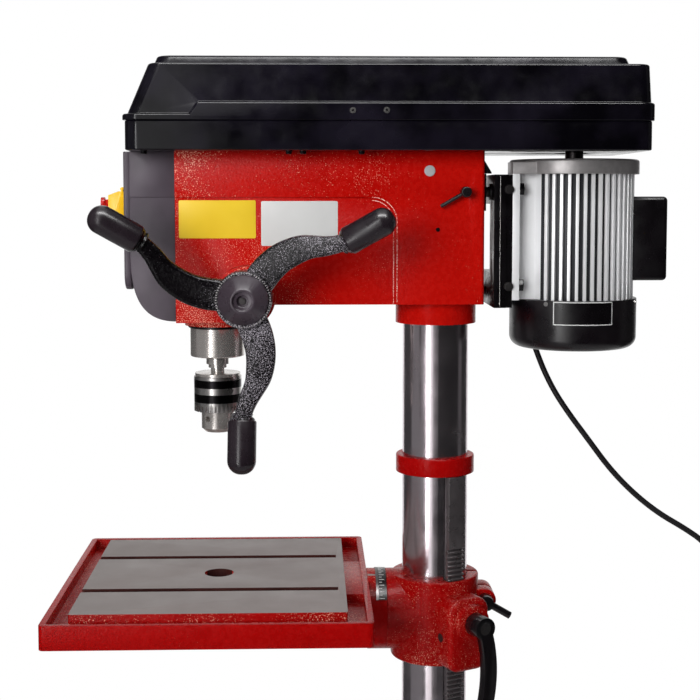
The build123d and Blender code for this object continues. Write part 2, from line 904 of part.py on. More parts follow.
def make_switch_flap():
    """Hollow flap hung from a hinge tube along its top edge."""
    half = switch_width / 2 + switch_rim
    flap = prism_x(flap_outline(0), -half, half)
    flap -= prism_x(flap_outline(flap_wall), -half + flap_wall, half - flap_wall)
    flap += bar_x(flap_hinge_radius - flap_gap, -half, half, flap_hinge_y, flap_hinge_z)
    tongue = switch_top + switch_rim - 2 * flap_hinge_radius - flap_wall
    flap += block(-half, half, flap_hinge_y - flap_wall / 2, flap_hinge_y + flap_wall / 2,
                  tongue, flap_hinge_z)
    slot = stop_knob_stem + stop_knob_gap
    front = button_face - flap_depth
    flap -= block(-slot, slot, front - 1, front + flap_wall, stop_knob_z - slot,
                  stop_knob_z + slot + stop_knob_travel)
    return flap


def make_emergency_button():
    """Mushroom stop knob that slides up its slot in the flap."""
    front = button_face - flap_depth
    stem = stop_knob_stem
    knob = block(-stem, stem, front - stop_knob_depth + stop_knob_lip, front + flap_wall,
                 stop_knob_z - stem, stop_knob_z + stem)
    cap = front - stop_knob_depth
    knob += bar_y(stop_knob_radius, cap, cap + stop_knob_lip, 0, stop_knob_z)
    inner = front + flap_wall + stop_knob_gap
    wide = stem + stop_knob_flange
    knob += block(-wide, wide, inner, inner + flap_wall, stop_knob_z - stem, stop_knob_z + stem)
    knob += block(-stem, stem, front, inner, stop_knob_z - stem, stop_knob_z + stem)
    return knob


# Belt cover
def hinge_tube(y0, y1, z0, z1, radius):
    """One hinge knuckle with the web that carries it."""
    tube = bar_y(radius, y0, y1, hinge_x, tray_top)
    web = block(hinge_x, -cover_half_width + cover_wall / 2, y0, y1, z0, z1)
    return tube + web


def knuckle_spans(station, on_lid):
    """Y spans of a hinge's knuckles: one on the tray, one on the lid."""
    half = hinge_knuckle_gap / 2
    if on_lid:
        return station + half, station + hinge_knuckle
    return station - hinge_knuckle, station - half


def make_belt_tray():
    """Open pan on the head's top with holes for the spindle, the idler stud and the motor shaft."""
    length = cover_length
    width = 2 * cover_half_width
    tray = slab(width, length, cover_corner_radius, head_top, tray_top, y=cover_middle)
    tray -= slab(width - 2 * cover_wall, length - 2 * cover_wall, cover_corner_radius - cover_wall,
                 tray_floor, tray_top, y=cover_middle)
    for station in hinge_stations:
        y0, y1 = knuckle_spans(station, False)
        tray += hinge_tube(y0, y1, tray_top - hinge_radius, tray_top - hinge_knuckle_gap, hinge_radius)
        tray -= bar_y(hinge_pin_radius, y0, y1, hinge_x, tray_top)
    tray -= post(pulley_hub_radius + tray_hole_gap, head_top, tray_floor, y=spindle_y)
    tray -= post(idler_thread_radius, head_top, tray_floor, y=idler_y)
    slot = motor_shaft_radius + tray_hole_gap
    tray -= post(slot, head_top, tray_floor, y=motor_y)
    tray -= post(slot, head_top, tray_floor, y=motor_y - motor_travel)
    tray -= block(-slot, slot, motor_y - motor_travel, motor_y, head_top, tray_floor)
    return tray


def tapered(corner, low, high):
    """Tapered block with round corners between two levels, each a half width, two Y places and a height."""
    sections = [
        Pos(0, (y0 + y1) / 2, z) * RectangleRounded(2 * half, y1 - y0, corner)
        for half, y0, y1, z in (low, high)
    ]
    return loft(sections, ruled=True)


def lid_form(inset, bottom):
    """Tapered lid body with a raised panel on top, drawn in by a wall thickness."""
    half = cover_half_width - inset
    front = -cover_front + inset
    rear = cover_rear - inset
    corner = cover_corner_radius - inset
    shoulder = lid_shoulder - inset
    top = lid_top - inset
    slope_end = front + lid_front_slope
    slope_rear = rear - lid_rear_slope
    body = tapered(corner, (half, front, rear, bottom),
                   (half - lid_side_draft, slope_end, slope_rear, shoulder))
    side = half - lid_plateau_inset
    panel_front = slope_end + lid_plateau_front
    panel_rear = slope_rear - lid_plateau_rear
    draft = lid_plateau_draft
    panel = tapered(corner, (side, panel_front, panel_rear, shoulder),
                    (side - draft, panel_front + draft, panel_rear - draft, top))
    return body + panel


def make_belt_lid():
    """Hinged lid with a stiffening rim that steps down at the front."""
    side = cover_half_width + rim_proud
    front = -cover_front - rim_proud
    step = -cover_front + rim_step_from_front
    low = tray_top + rim_front_height
    high = tray_top + rim_height
    rim = slab(2 * side, cover_length + 2 * rim_proud, cover_corner_radius + rim_proud, tray_top, high,
               y=cover_middle)
    rim -= prism_x([(front, low), (step, low), (step + rim_step_run, high), (front, high)], -side, side)
    lid = lid_form(0, tray_top) + rim
    lid -= lid_form(cover_wall, tray_top)
    for station in hinge_stations:
        y0, y1 = knuckle_spans(station, True)
        lid += hinge_tube(y0, y1, tray_top + hinge_knuckle_gap, tray_top + hinge_radius, hinge_radius)
        lid -= bar_y(hinge_pin_radius + hinge_pin_gap, y0, y1, hinge_x, tray_top)
    return lid


def make_lid_hinge_pins():
    """Pins through both knuckles of each hinge."""
    pins = []
    for station in hinge_stations:
        start = station - hinge_knuckle
        end = station + hinge_knuckle
        pins.append(bar_y(hinge_pin_radius, start, end, hinge_x, tray_top))
    return group(pins)


# Pulleys, belts and their bearings
def pulley(radii, bore):
    """Stepped V-pulley about Z, standing on the pulley height."""
    points = [(bore, pulley_z)]
    for index, radius in enumerate(radii):
        low = pulley_z + index * pulley_step
        middle = low + pulley_step / 2
        points += [(radius, low), (radius, middle - groove_half_width)]
        points += [(radius - groove_depth, middle - groove_root_half_width)]
        points += [(radius - groove_depth, middle + groove_root_half_width)]
        points += [(radius, middle + groove_half_width), (radius, low + pulley_step)]
    points.append((bore, pulley_top))
    return turned(points)


def splined_bar(root, tip, width, z0, z1):
    """Round bar with straight splines."""
    bar = post(root, z0, z1)
    for index in range(spline_count):
        key = block(0, tip, -width / 2, width / 2, z0, z1)
        bar += Rot(0, 0, index * 360 / spline_count) * key
    return bar


def make_spindle_pulley():
    """Spindle pulley with a hub down through its bearing and a splined bore."""
    body = pulley(spindle_pulley_radii, spline_root_radius)
    body += post(pulley_hub_radius, bearing_seat_z, pulley_z)
    body -= splined_bar(spline_root_radius + spline_gap, spline_tip_radius + spline_gap,
                        spline_width + 2 * spline_gap, bearing_seat_z, pulley_top)
    return Pos(0, spindle_y, 0) * body


idler_bearing_places = (
    pulley_z + idler_bearing_height / 2 + 1,
    pulley_top - idler_bearing_height / 2 - 1,
)


def make_idler_shaft():
    """Fixed stud that carries the idler pulley and clamps the tray."""
    stud = post(idler_thread_radius, head_top - idler_thread_depth, tray_floor)
    stud += post(idler_flange_radius, tray_floor, pulley_z - 1)
    stud += post(idler_stud_radius, tray_floor, pulley_top)
    return Pos(0, idler_y, 0) * stud


def make_idler_pulley():
    """Idler pulley with a bore for its two bearings."""
    body = pulley(idler_pulley_radii, idler_bearing_radius + shaft_running_gap)
    return Pos(0, idler_y, 0) * body


def make_pulley_bearings():
    """Bearing rings: one under the spindle pulley, two in the idler."""
    bearing_top = bearing_seat_z + pulley_bearing_height
    ring = post(pulley_bearing_radius, bearing_seat_z, bearing_top)
    ring -= post(pulley_hub_radius + shaft_running_gap, bearing_seat_z, bearing_top)
    rings = [Pos(0, spindle_y, 0) * ring]
    for middle in idler_bearing_places:
        low = middle - idler_bearing_height / 2
        high = middle + idler_bearing_height / 2
        small = post(idler_bearing_radius, low, high) - post(idler_stud_radius, low, high)
        rings.append(Pos(0, idler_y, 0) * small)
    return group(rings)


def belt_loop(front_y, front_radius, rear_y, rear_radius, z):
    """Closed path round two pulleys with straight runs between them."""
    span = rear_y - front_y
    lean = math.asin((front_radius - rear_radius) / span)
    side = math.cos(lean)
    shift = math.sin(lean)
    front_point = (front_radius * side, front_y + front_radius * shift, z)
    rear_point = (rear_radius * side, rear_y + rear_radius * shift, z)
    front_far = (-front_point[0], front_point[1], z)
    rear_far = (-rear_point[0], rear_point[1], z)
    return [
        Line(front_point, rear_point),
        ThreePointArc(rear_point, (0, rear_y + rear_radius, z), rear_far),
        Line(rear_far, front_far),
        ThreePointArc(front_far, (0, front_y - front_radius, z), front_point),
    ]


def belt(front_y, front_radii, rear_y, rear_radii, groove):
    """V-belt in a named groove of two pulleys: its section swept round the loop."""
    level = pulley_grooves.index(groove)
    middle = pulley_z + level * pulley_step + pulley_step / 2
    wide = groove_half_width - belt_gap
    narrow = groove_root_half_width - belt_gap / 2
    depth = groove_depth - belt_gap
    loop = Wire(belt_loop(front_y, front_radii[level], rear_y, rear_radii[level], middle))
    section = Polyline((0, -wide), (0, wide), (-depth, narrow), (-depth, -narrow), close=True)
    run = loop % 0
    start = Plane(origin=loop @ 0, x_dir=(run.Y, -run.X, 0), z_dir=run)
    return sweep(start * make_face(section), path=loop)


def make_spindle_belt():
    """Belt from the idler to the spindle pulley."""
    return belt(spindle_y, spindle_pulley_radii, idler_y, idler_pulley_radii, spindle_belt_groove)


def make_motor_belt():
    """Belt from the motor to the idler pulley."""
    return belt(idler_y, idler_pulley_radii, motor_y, motor_pulley_radii, motor_belt_groove)


# Quill, spindle and chuck
def make_quill():
    """Sliding quill with a nose ring, a bore, bearing pockets and rack teeth on its rear side."""
    body = post(quill_radius, quill_nose_top, quill_top)
    body += post(quill_nose_radius, quill_nose_bottom, quill_nose_top)
    body = fillet(body.edges().group_by(Axis.Z)[0], quill_nose_edge)
    body -= post(spindle_radius + 1, quill_nose_bottom, quill_top)
    body -= post(quill_bearing_radius, quill_nose_bottom, quill_nose_bottom + quill_bearing_height)
    body -= post(quill_bearing_radius, quill_top - quill_bearing_height, quill_top)
    pitch = math.pi * feed_module
    below = 3
    above = math.ceil(quill_travel / pitch) + rack_spare_teeth
    grooves = rack_grooves(feed_module, feed_axis_z, -below, below + above + 1)
    outside = quill_radius + rack_cut_overrun - rack_pitch_offset
    tip = rack_addendum_share * feed_module
    low = grooves[0][1] - pitch / 2
    high = grooves[-1][1] + pitch / 2
    points = [(outside, low), (tip, low)] + grooves + [(tip, high), (outside, high)]
    comb = prism_x([(offset + rack_pitch_offset, z) for offset, z in points], -quill_radius, quill_radius)
    return Pos(0, spindle_y, 0) * (body - comb)


def make_quill_bearings():
    """Spindle bearings at both ends of the quill."""
    rings = []
    for low in (quill_nose_bottom, quill_top - quill_bearing_height):
        ring = post(quill_bearing_radius, low, low + quill_bearing_height)
        ring -= post(spindle_radius + shaft_running_gap, low, low + quill_bearing_height)
        rings.append(Pos(0, spindle_y, 0) * ring)
    return group(rings)


def make_spindle():
    """Spindle with a splined top, a stepped nose and a taper socket."""
    body = post(spindle_radius, quill_nose_bottom, quill_top)
    body += post(spindle_nose_radius, quill_nose_bottom - spindle_nose_height, quill_nose_bottom)
    body += post(spindle_step_radius, spindle_end, quill_nose_bottom)
    body += splined_bar(spline_root_radius, spline_tip_radius, spline_width, quill_top, spindle_top)
    body -= morse_cone()
    return Pos(0, spindle_y, 0) * body


def morse_cone():
    """Self-holding taper between the arbor and the spindle."""
    end = morse_mouth_radius - morse_depth * morse_taper
    return turned([(0, spindle_end), (morse_mouth_radius, spindle_end), (end, spindle_end + morse_depth),
                   (0, spindle_end + morse_depth)])


def chuck_cone():
    """Short taper between the arbor and the chuck."""
    low = chuck_top - chuck_taper_depth
    end = chuck_taper_mouth_radius - chuck_taper_depth * chuck_taper_slope
    return turned([(0, low), (end, low), (chuck_taper_mouth_radius, chuck_top), (0, chuck_top)])


def make_chuck_arbor():
    """Arbor with a taper at each end."""
    body = morse_cone() + post(arbor_neck_radius, chuck_top, spindle_end) + chuck_cone()
    return Pos(0, spindle_y, 0) * body


def jaw_azimuth(index):
    """Direction of one jaw, midway between two key holes."""
    return chuck_key_azimuth + 60 + 120 * index


def jaw_bar(radius, start, length):
    """Slanting round bar along a jaw's track, on the +X side."""
    bar = Pos(0, 0, start + length / 2) * Cylinder(radius, length)
    return Pos(jaw_foot_radius, 0, chuck_bottom) * Rot(0, jaw_tilt, 0) * bar


def make_chuck_body():
    """Chuck core with three slanting jaw bores, key holes and a flange over the sleeve."""
    body = post(chuck_core_radius, chuck_sleeve_bottom, chuck_top)
    body += post(chuck_flange_radius, chuck_sleeve_top, chuck_top)
    nose = post(chuck_nose_radius, chuck_bottom, chuck_sleeve_bottom)
    body += chamfer(nose.edges().group_by(Axis.Z)[0], chuck_nose_chamfer)
    body -= chuck_cone()
    body -= post(chuck_bore_radius, chuck_bottom, chuck_bottom + jaw_length)
    for index in range(3):
        length = jaw_length + jaw_radius * 2 + jaw_foot_rise + 1
        bore = jaw_bar(jaw_radius + chuck_gap, -jaw_radius * 2, length)
        body -= Rot(0, 0, jaw_azimuth(index)) * bore
        key = bar_x(chuck_key_radius, chuck_bore_radius, chuck_nose_radius + 1, 0,
                    chuck_bottom + chuck_nose_height * 0.65)
        body -= Rot(0, 0, chuck_key_azimuth + 120 * index) * key
    return Pos(0, spindle_y, 0) * body


def make_chuck_sleeve():
    """Sleeve with key teeth round its lower edge."""
    body = post(chuck_sleeve_radius, chuck_sleeve_bottom, chuck_sleeve_top - chuck_gap)
    body -= post(chuck_core_radius + chuck_gap, chuck_sleeve_bottom, chuck_sleeve_top)
    pitch = 2 * math.pi * chuck_sleeve_radius / chuck_teeth
    cutters = []
    for index in range(chuck_teeth):
        notch = block(chuck_sleeve_radius - chuck_tooth_depth, chuck_sleeve_radius + 1, -pitch / 4, pitch / 4,
                      chuck_sleeve_bottom, chuck_sleeve_bottom + chuck_tooth_height)
        cutters.append(Rot(0, 0, index * 360 / chuck_teeth) * notch)
    return Pos(0, spindle_y, 0) * (body - cutters)


def make_chuck_jaw(index):
    """Jaw: a slanting round bar with a wedge-shaped gripping edge."""
    bar = jaw_bar(jaw_radius, jaw_foot_rise, jaw_length)
    edge = jaw_travel * math.sin(math.radians(jaw_tilt)) + jaw_closed_gap
    reach = chuck_sleeve_radius
    wide = reach * math.tan(math.radians(60))
    outline = Polyline((edge, 0), (edge + reach, wide), (edge + reach, -wide), close=True)
    wedge = extrude(Pos(0, 0, chuck_bottom) * make_face(outline), chuck_top - chuck_bottom)
    return Pos(0, spindle_y, 0) * Rot(0, 0, jaw_azimuth(index)) * (bar & wedge)


# Feed handle and return spring
spider_face = feed_boss_face + spider_hub_gap
spider_front = spider_face + spider_hub_length
arm_x = spider_face + spider_arm_offset
spring_housing_face = -head_half_width


def journal_start():
    """X where the feed shaft's thick journal passes beside the quill."""
    reach = feed_axis_y - spindle_y - feed_journal_radius
    return math.sqrt(quill_radius ** 2 - reach ** 2) + pocket_gap


def make_feed_shaft():
    """Feed shaft with the pinion cut in it."""
    tail = spring_housing_face - spring_housing_depth + 2 * spring_housing_wall
    half = feed_pinion_width / 2
    shaft = bar_x(feed_tail_radius, tail, -half, feed_axis_y, feed_axis_z)
    shaft += bar_x(feed_journal_radius, journal_start(), feed_boss_face, feed_axis_y, feed_axis_z)
    shaft += bar_x(feed_seat_radius, -half, spider_front, feed_axis_y, feed_axis_z)
    pinion = gear(feed_module, feed_teeth, feed_module, feed_pinion_width)
    shaft += Pos(0, feed_axis_y, feed_axis_z) * side_plane * Rot(0, 0, 180) * pinion
    return shaft


def arm_outline():
    """Edges of one curved arm, along +X of its own plane."""
    left = [(a, b + w) for a, b, w in zip(arm_stations, arm_offsets, arm_half_widths)]
    right = [(a, b - w) for a, b, w in zip(arm_stations, arm_offsets, arm_half_widths)]
    return [
        Spline(*left),
        Spline(*right),
        Line(left[0], right[0]),
        Line(left[-1], right[-1]),
    ]


def in_spider_plane(shape, index):
    """Place a shape drawn in the arm's plane on one of the handle's arms, which lean out from the hub."""
    turn = spider_first_arm + index * 360 / spider_arm_count
    root = arm_stations[0]
    leaning = Pos(root, 0, 0) * Rot(0, -spider_arm_lean, 0) * Pos(-root, 0, 0) * shape
    return Pos(arm_x, feed_axis_y, feed_axis_z) * side_plane * Rot(0, 0, turn) * leaning


def make_feed_spider():
    """Hub with three curved arms and the studs that carry the grips."""
    hub = along_x(post(spider_hub_radius, spider_face, spider_front), feed_axis_y, feed_axis_z)
    hub = fillet(hub.edges().group_by(Axis.X)[-1], spider_hub_edge)
    arm = extrude(make_face(arm_outline()), spider_arm_thickness)
    arm = fillet(arm.edges().filter_by(GeomType.BSPLINE), spider_arm_edge)
    end = arm_stations[-1]
    middle = spider_arm_thickness / 2
    stud = Pos(0, 0, middle) * bar_x(grip_stud_radius, end - grip_stud_root, end + grip_stud_length, 0, 0)
    for index in range(spider_arm_count):
        hub += in_spider_plane(arm + stud, index)
    return hub - bar_x(feed_seat_radius, spider_face, spider_front, feed_axis_y, feed_axis_z)


def make_feed_grips():
    """Three moulded grips with a round end."""
    start = arm_stations[-1]
    end = start + grip_length
    grip = post(grip_radius, start, end)
    grip = chamfer(grip.edges().group_by(Axis.Z)[0], grip_edge)
    grip = fillet(grip.edges().group_by(Axis.Z)[-1], grip_radius - grip_tip_flat)
    grip -= post(grip_stud_radius, start, start + grip_stud_length)
    lying = Pos(0, 0, spider_arm_thickness / 2) * Rot(0, 90, 0) * grip
    return group([in_spider_plane(lying, index) for index in range(spider_arm_count)])


def make_hub_cap():
    """Conical cap on the hub with a round recess and a screw hole."""
    face = spider_front + hub_cap_height
    floor = face - hub_cap_recess
    points = [(0, spider_front), (hub_cap_radius, spider_front), (hub_cap_radius, spider_front + hub_cap_rim),
              (hub_cap_face_radius + hub_cap_rim, face), (hub_cap_face_radius, face),
              (hub_cap_face_radius, floor), (hub_cap_hole_radius, floor),
              (hub_cap_hole_radius, floor - hub_cap_hole_depth), (0, floor - hub_cap_hole_depth)]
    return along_x(turned(points), feed_axis_y, feed_axis_z)


def make_spring_housing():
    """Round cup on the left of the head that holds the return spring."""
    rear = spring_housing_face - spring_housing_depth
    cup = bar_x(spring_housing_radius, rear, spring_housing_face, feed_axis_y, feed_axis_z)
    cup = fillet(cup.edges().group_by(Axis.X)[0], spring_housing_wall)
    cup -= bar_x(spring_housing_radius - spring_housing_wall, rear + spring_housing_wall, spring_housing_face,
                 feed_axis_y, feed_axis_z)
    return cup


def make_return_spring():
    """Flat spiral spring made of half turns that grow outwards, ending at the housing's wall."""
    outer_end = spring_housing_radius - spring_housing_wall
    first = feed_tail_radius + spring_inner_gap
    growth = (outer_end - spring_thickness - first) / spring_turns / 2
    outer = []
    inner = []
    for half in range(2 * spring_turns):
        sign = 1 if half % 2 == 0 else -1
        start = first + half * growth
        radius = start + growth / 2
        centre = -sign * (start - radius)
        for edge, extra in ((inner, 0.0), (outer, spring_thickness)):
            edge.append(ThreePointArc(
                (sign * start + sign * extra, 0),
                (-centre, sign * (radius + extra)),
                (-sign * (start + growth + extra), 0),
            ))
    ends = [Line(inner[0] @ 0, outer[0] @ 0), Line(inner[-1] @ 1, outer[-1] @ 1)]
    band = extrude(make_face(inner + outer + ends), spring_width)
    seat = spring_housing_face - spring_housing_depth / 2 - spring_width / 2
    return Pos(seat, feed_axis_y, feed_axis_z) * side_plane * band


# Motor and carriage
def make_slide_bars():
    """Two carriage bars that slide in the head."""
    return group([bar_y(bar_radius, bar_depth, clip_front, x, z) for x, z in bar_places()])


def foot_bolt_places():
    """X and Z of the four motor foot bolts, inside the foot and clear of the lower bar."""
    over_bar = bar_lower_z + bar_radius + foot_bolt_radius + foot_bolt_bar_gap
    low = max(motor_body_bottom + foot_bolt_inset, over_bar)
    high = motor_body_top - foot_bolt_inset
    return [(x, z) for x in (-foot_bolt_spread, foot_bolt_spread) for z in (low, high)]


def make_motor_plate():
    """Carriage plate: two slabs with a window, a shoulder round each bar and a strip behind them."""
    seam = plate_front + plate_thickness
    plate = block(-plate_half_width, plate_half_width, plate_front, seam, plate_bottom, plate_top)
    plate += block(-plate_back_half_width, plate_back_half_width, seam, clip_front, plate_bottom, plate_top)
    plate -= block(-plate_half_width, plate_window_side, plate_front, clip_front,
                   plate_bottom + plate_window_rise, plate_top - plate_window_drop)
    plate += block(-clip_half_width, clip_half_width, clip_front, clip_rear, plate_bottom, plate_top)
    for x, z in bar_places():
        plate += bar_y(bar_shoulder_radius, bar_shoulder_front, plate_front, x, z)
        plate -= bar_y(bar_radius, bar_shoulder_front, clip_front, x, z)
    for x, z in foot_bolt_places():
        plate -= bar_y(foot_bolt_radius, plate_front, clip_rear, x, z)
    return plate


def fin_turns():
    """Turns of the housing's fins from +X, leaving the foot's side smooth."""
    turns = [index * 360 / motor_fin_count for index in range(motor_fin_count)]
    return [turn for turn in turns if abs(turn - motor_foot_turn) >= motor_fin_start]


def make_motor_housing():
    """Finned motor housing with a flat foot flange against the plate."""
    body = post(motor_shell_radius, motor_body_bottom, motor_body_top)
    fin = block(motor_shell_radius - 1, motor_body_radius, -motor_fin_thickness / 2, motor_fin_thickness / 2,
                motor_body_bottom, motor_body_top)
    body += [Rot(0, 0, turn) * fin for turn in fin_turns()]
    body &= post(motor_body_radius, motor_body_bottom, motor_body_top)
    foot = clip_rear - motor_y
    body += block(-motor_foot_half_width, motor_foot_half_width, foot, foot + motor_foot_thickness,
                  motor_body_bottom, motor_body_top)
    body += block(-motor_neck_half_width, motor_neck_half_width, foot, foot / 2,
                  motor_body_bottom, motor_body_top)
    body -= post(motor_shell_radius - motor_shell_wall, motor_body_bottom, motor_body_top)
    housing = Pos(0, motor_y, 0) * body
    for x, z in foot_bolt_places():
        housing -= bar_y(foot_bolt_radius, clip_rear, foot_bolt_seat(), x, z)
    return housing


def foot_bolt_seat():
    """Y of the seat of the foot bolts' heads, on the rear of the foot flange."""
    return clip_rear + motor_foot_thickness


def make_motor_bolts():
    """Foot bolts through the plate, heads on the motor's side."""
    bolts = []
    for x, z in foot_bolt_places():
        bolt = bar_y(foot_bolt_radius, plate_front, foot_bolt_seat(), x, z)
        head = Rot(90, 0, 0) * hexagon(foot_bolt_head_radius, -foot_bolt_head_height, 0)
        bolts.append(bolt + Pos(x, foot_bolt_seat(), z) * head)
    return group(bolts)


def make_motor_stator():
    """Stator core pressed in the housing."""
    low = motor_body_bottom + (motor_body_height - rotor_length) / 2
    core = post(motor_shell_radius - motor_shell_wall, low, low + rotor_length)
    core -= post(rotor_radius + stator_gap, low, low + rotor_length)
    return Pos(0, motor_y, 0) * core


def make_motor_rotor():
    """Rotor core on the motor shaft."""
    low = motor_body_bottom + (motor_body_height - rotor_length) / 2
    rotor = post(rotor_radius, low, low + rotor_length)
    rotor += post(motor_shaft_radius, motor_bottom + 2 * motor_cowl_wall, pulley_top + pulley_rise / 2)
    return Pos(0, motor_y, 0) * rotor


def make_motor_pulley():
    """Stepped pulley on the motor shaft."""
    return Pos(0, motor_y, 0) * pulley(motor_pulley_radii, motor_shaft_radius)


def make_motor_top_shield():
    """Upper end shield with the shaft's bearing bore and a lug over the foot."""
    top = motor_body_top + motor_shield_height
    shield = post(motor_shield_radius, motor_body_top, top)
    shield = fillet(shield.edges().group_by(Axis.Z)[-1], motor_shield_edge)
    shield += block(shield_lug_inner, motor_foot_half_width, clip_rear - motor_y, 0, motor_body_top,
                    top - motor_shield_edge)
    shield -= post(motor_shaft_radius + shaft_running_gap, motor_body_top, top)
    return Pos(0, motor_y, 0) * shield


def make_motor_bottom_cover():
    """Lower cowl with a round edge and the shaft's lower bearing bore."""
    cowl = post(motor_cowl_radius, motor_bottom, motor_body_bottom)
    cowl = fillet(cowl.edges().group_by(Axis.Z)[0], motor_cowl_edge)
    inner = post(motor_cowl_radius - motor_cowl_wall, motor_bottom + motor_cowl_wall,
                 motor_body_bottom - motor_cowl_wall)
    inner = fillet(inner.edges().group_by(Axis.Z)[0], motor_cowl_edge - motor_cowl_wall)
    cowl -= inner
    cowl -= post(motor_shaft_radius + shaft_running_gap, motor_body_bottom - motor_cowl_wall,
                 motor_body_bottom)
    return Pos(0, motor_y, 0) * cowl


def make_capacitor_box():
    """Capacitor box seated on the fins at the rear of the motor."""
    low = motor_body_bottom + capacitor_rise
    reach = motor_body_radius + capacitor_depth
    box = slab(2 * capacitor_half_width, 2 * capacitor_depth, capacitor_corner, low, low + capacitor_height,
               y=reach - capacitor_depth)
    box = fillet(box.edges().group_by(Axis.Z)[0] + box.edges().group_by(Axis.Z)[-1], capacitor_edge)
    box -= post(motor_body_radius, low, low + capacitor_height)
    box -= block(-motor_body_radius, motor_body_radius, -motor_body_radius, motor_body_radius / 2,
                 low, low + capacitor_height)
    return Pos(0, motor_y, 0) * box


def make_belt_lock_lever():
    """Lever on the head's side that clamps the upper carriage bar."""
    face = head_half_width + lever_hub_gap
    lever = bar_x(lever_hub_radius, face, face + lever_hub_length, lever_y, bar_upper_z)
    lever = fillet(lever.edges().group_by(Axis.X)[-1], lever_hub_edge)
    lever += bar_x(lever_stem_radius, head_half_width - lever_stem_depth, face, lever_y, bar_upper_z)
    rod = Pos(0, 0, lever_rod_length / 2) * Cylinder(lever_rod_radius, lever_rod_length)
    middle = face + lever_hub_length / 2
    lever += Pos(middle, lever_y, bar_upper_z) * Rot(lever_rod_angle - 90, 0, 0) * rod
    return lever


# Rack, rack ring and table lift
def make_rack_ring():
    """Ring on the column with a groove underneath for the rack's upper tongue."""
    ring = post(ring_radius, ring_bottom, ring_bottom + ring_height)
    ring = fillet(ring.edges().group_by(Axis.Z)[-1], ring_edge)
    ring -= post(column_radius, ring_bottom, ring_bottom + ring_height)
    return ring - post(tongue_groove_radius, ring_bottom, ring_bottom + rack_tongue_height + tongue_gap)


def make_rack():
    """Toothed rack beside the column with a tongue at each end."""
    pitch = math.pi * lift_module
    low = flange_top + tongue_gap
    high = ring_bottom - tongue_gap
    first = math.ceil((low + rack_plain_bottom - lift_axis_z) / pitch)
    last = math.floor((high - rack_plain_top - lift_axis_z) / pitch)
    grooves = rack_grooves(lift_module, lift_axis_z, first, last - first + 1)
    teeth = [(rack_pitch_radius + offset, z) for offset, z in grooves]
    tongue = rack_inner + rack_tongue
    outline = [(rack_inner, low - rack_tongue_height), (tongue, low - rack_tongue_height), (tongue, low),
               (rack_tip, low)] + teeth
    outline += [(rack_tip, high), (tongue, high), (tongue, high + rack_tongue_height),
                (rack_inner, high + rack_tongue_height)]
    face = make_face(Polyline(*[(r, 0, z) for r, z in outline], close=True))
    body = extrude(face, rack_width / 2, dir=(0, 1, 0), both=True)
    hollow = post(rack_inner, low - rack_tongue_height, high + rack_tongue_height)
    return turned_to_rack(body - hollow)


def make_table_bracket():
    """Bracket: split collar, gear case, crank boss and tilt boss."""
    body = post(bracket_radius, bracket_bottom, bracket_top)
    body = fillet(body.edges().group_by(Axis.Z)[0] + body.edges().group_by(Axis.Z)[-1], bracket_edge)
    case = block(0, gear_case_reach, -gear_case_half_width, gear_case_half_width,
                 crank_z - gear_case_below, crank_z + gear_case_above)
    case = fillet(case.edges().filter_by(Axis.X), gear_case_corner)
    case = fillet(case.edges().group_by(Axis.X)[-1], gear_case_edge)
    case += bar_x(crank_boss_radius, 0, crank_boss_face, 0, crank_z)
    body += turned_to_rack(case)
    body += bar_y(tilt_hub_radius, -tilt_face, 0, 0, tilt_z)
    body += block(-lug_half_width, lug_half_width, 0, clamp_y, clamp_z - lug_radius, clamp_z + lug_radius)
    body += bar_x(lug_radius, -lug_half_width, lug_half_width, clamp_y, clamp_z)
    body -= post(column_radius + bracket_gap, bracket_bottom - 1, tilt_z + tilt_hub_radius + 1)
    body -= block(-lug_slit / 2, lug_slit / 2, 0, clamp_y + lug_radius, bracket_bottom, bracket_top)
    body -= bar_x(clamp_screw_radius + clamp_screw_gap, -lug_half_width, lug_half_width, clamp_y, clamp_z)
    body -= bar_y(tilt_bolt_radius, -tilt_face, -tilt_face + tilt_bolt_thread, 0, tilt_z)
    channel = block(0, rack_tip + 1, -rack_width / 2 - rack_clearance, rack_width / 2 + rack_clearance,
                    bracket_bottom - 1, tilt_z + tilt_hub_radius + 1)
    pocket_half = lift_pinion_width / 2 + worm_gap
    pocket = bar_y(lift_tip_radius + worm_gap, -pocket_half, pocket_half, lift_axis_radius, lift_axis_z)
    journals = bar_y(lift_journal_radius + shaft_running_gap, -gear_case_half_width, gear_case_half_width,
                     lift_axis_radius, lift_axis_z)
    worm_room = bar_x(worm_radius + worm_gap, rack_tip, worm_end() + worm_gap, 0, crank_z)
    shaft_bore = bar_x(crank_shaft_radius + shaft_running_gap, rack_tip, crank_boss_face, 0, crank_z)
    return body - turned_to_rack(channel + pocket + journals + worm_room + shaft_bore)


def worm_end():
    """Outer end of the worm, as far beyond the lift pinion's axis as its inner end is short of it."""
    return 2 * lift_axis_radius - rack_tip - 1


def make_lift_pinion():
    """Pinion between the worm and the rack, with its journals."""
    pinion = gear(lift_module, lift_teeth, rack_addendum_share * lift_module, lift_pinion_width)
    pinion = Rot(0, 0, 180) * pinion
    axle = Cylinder(lift_journal_radius, 2 * gear_case_half_width)
    body = Pos(lift_axis_radius, 0, lift_axis_z) * Rot(90, 0, 0) * (pinion + axle)
    return turned_to_rack(body)


def make_crank_shaft():
    """Crank shaft with its worm."""
    start = rack_tip + 1 + worm_gap
    end = crank_boss_face + crank_hub_gap + crank_hub_length
    shaft = bar_x(worm_radius, start, worm_end(), 0, crank_z)
    shaft += bar_x(crank_shaft_radius, start, end, 0, crank_z)
    return turned_to_rack(shaft)


crank_face = crank_boss_face + crank_hub_gap
crank_end = crank_face + crank_hub_length
crank_pin_z = crank_z - crank_length


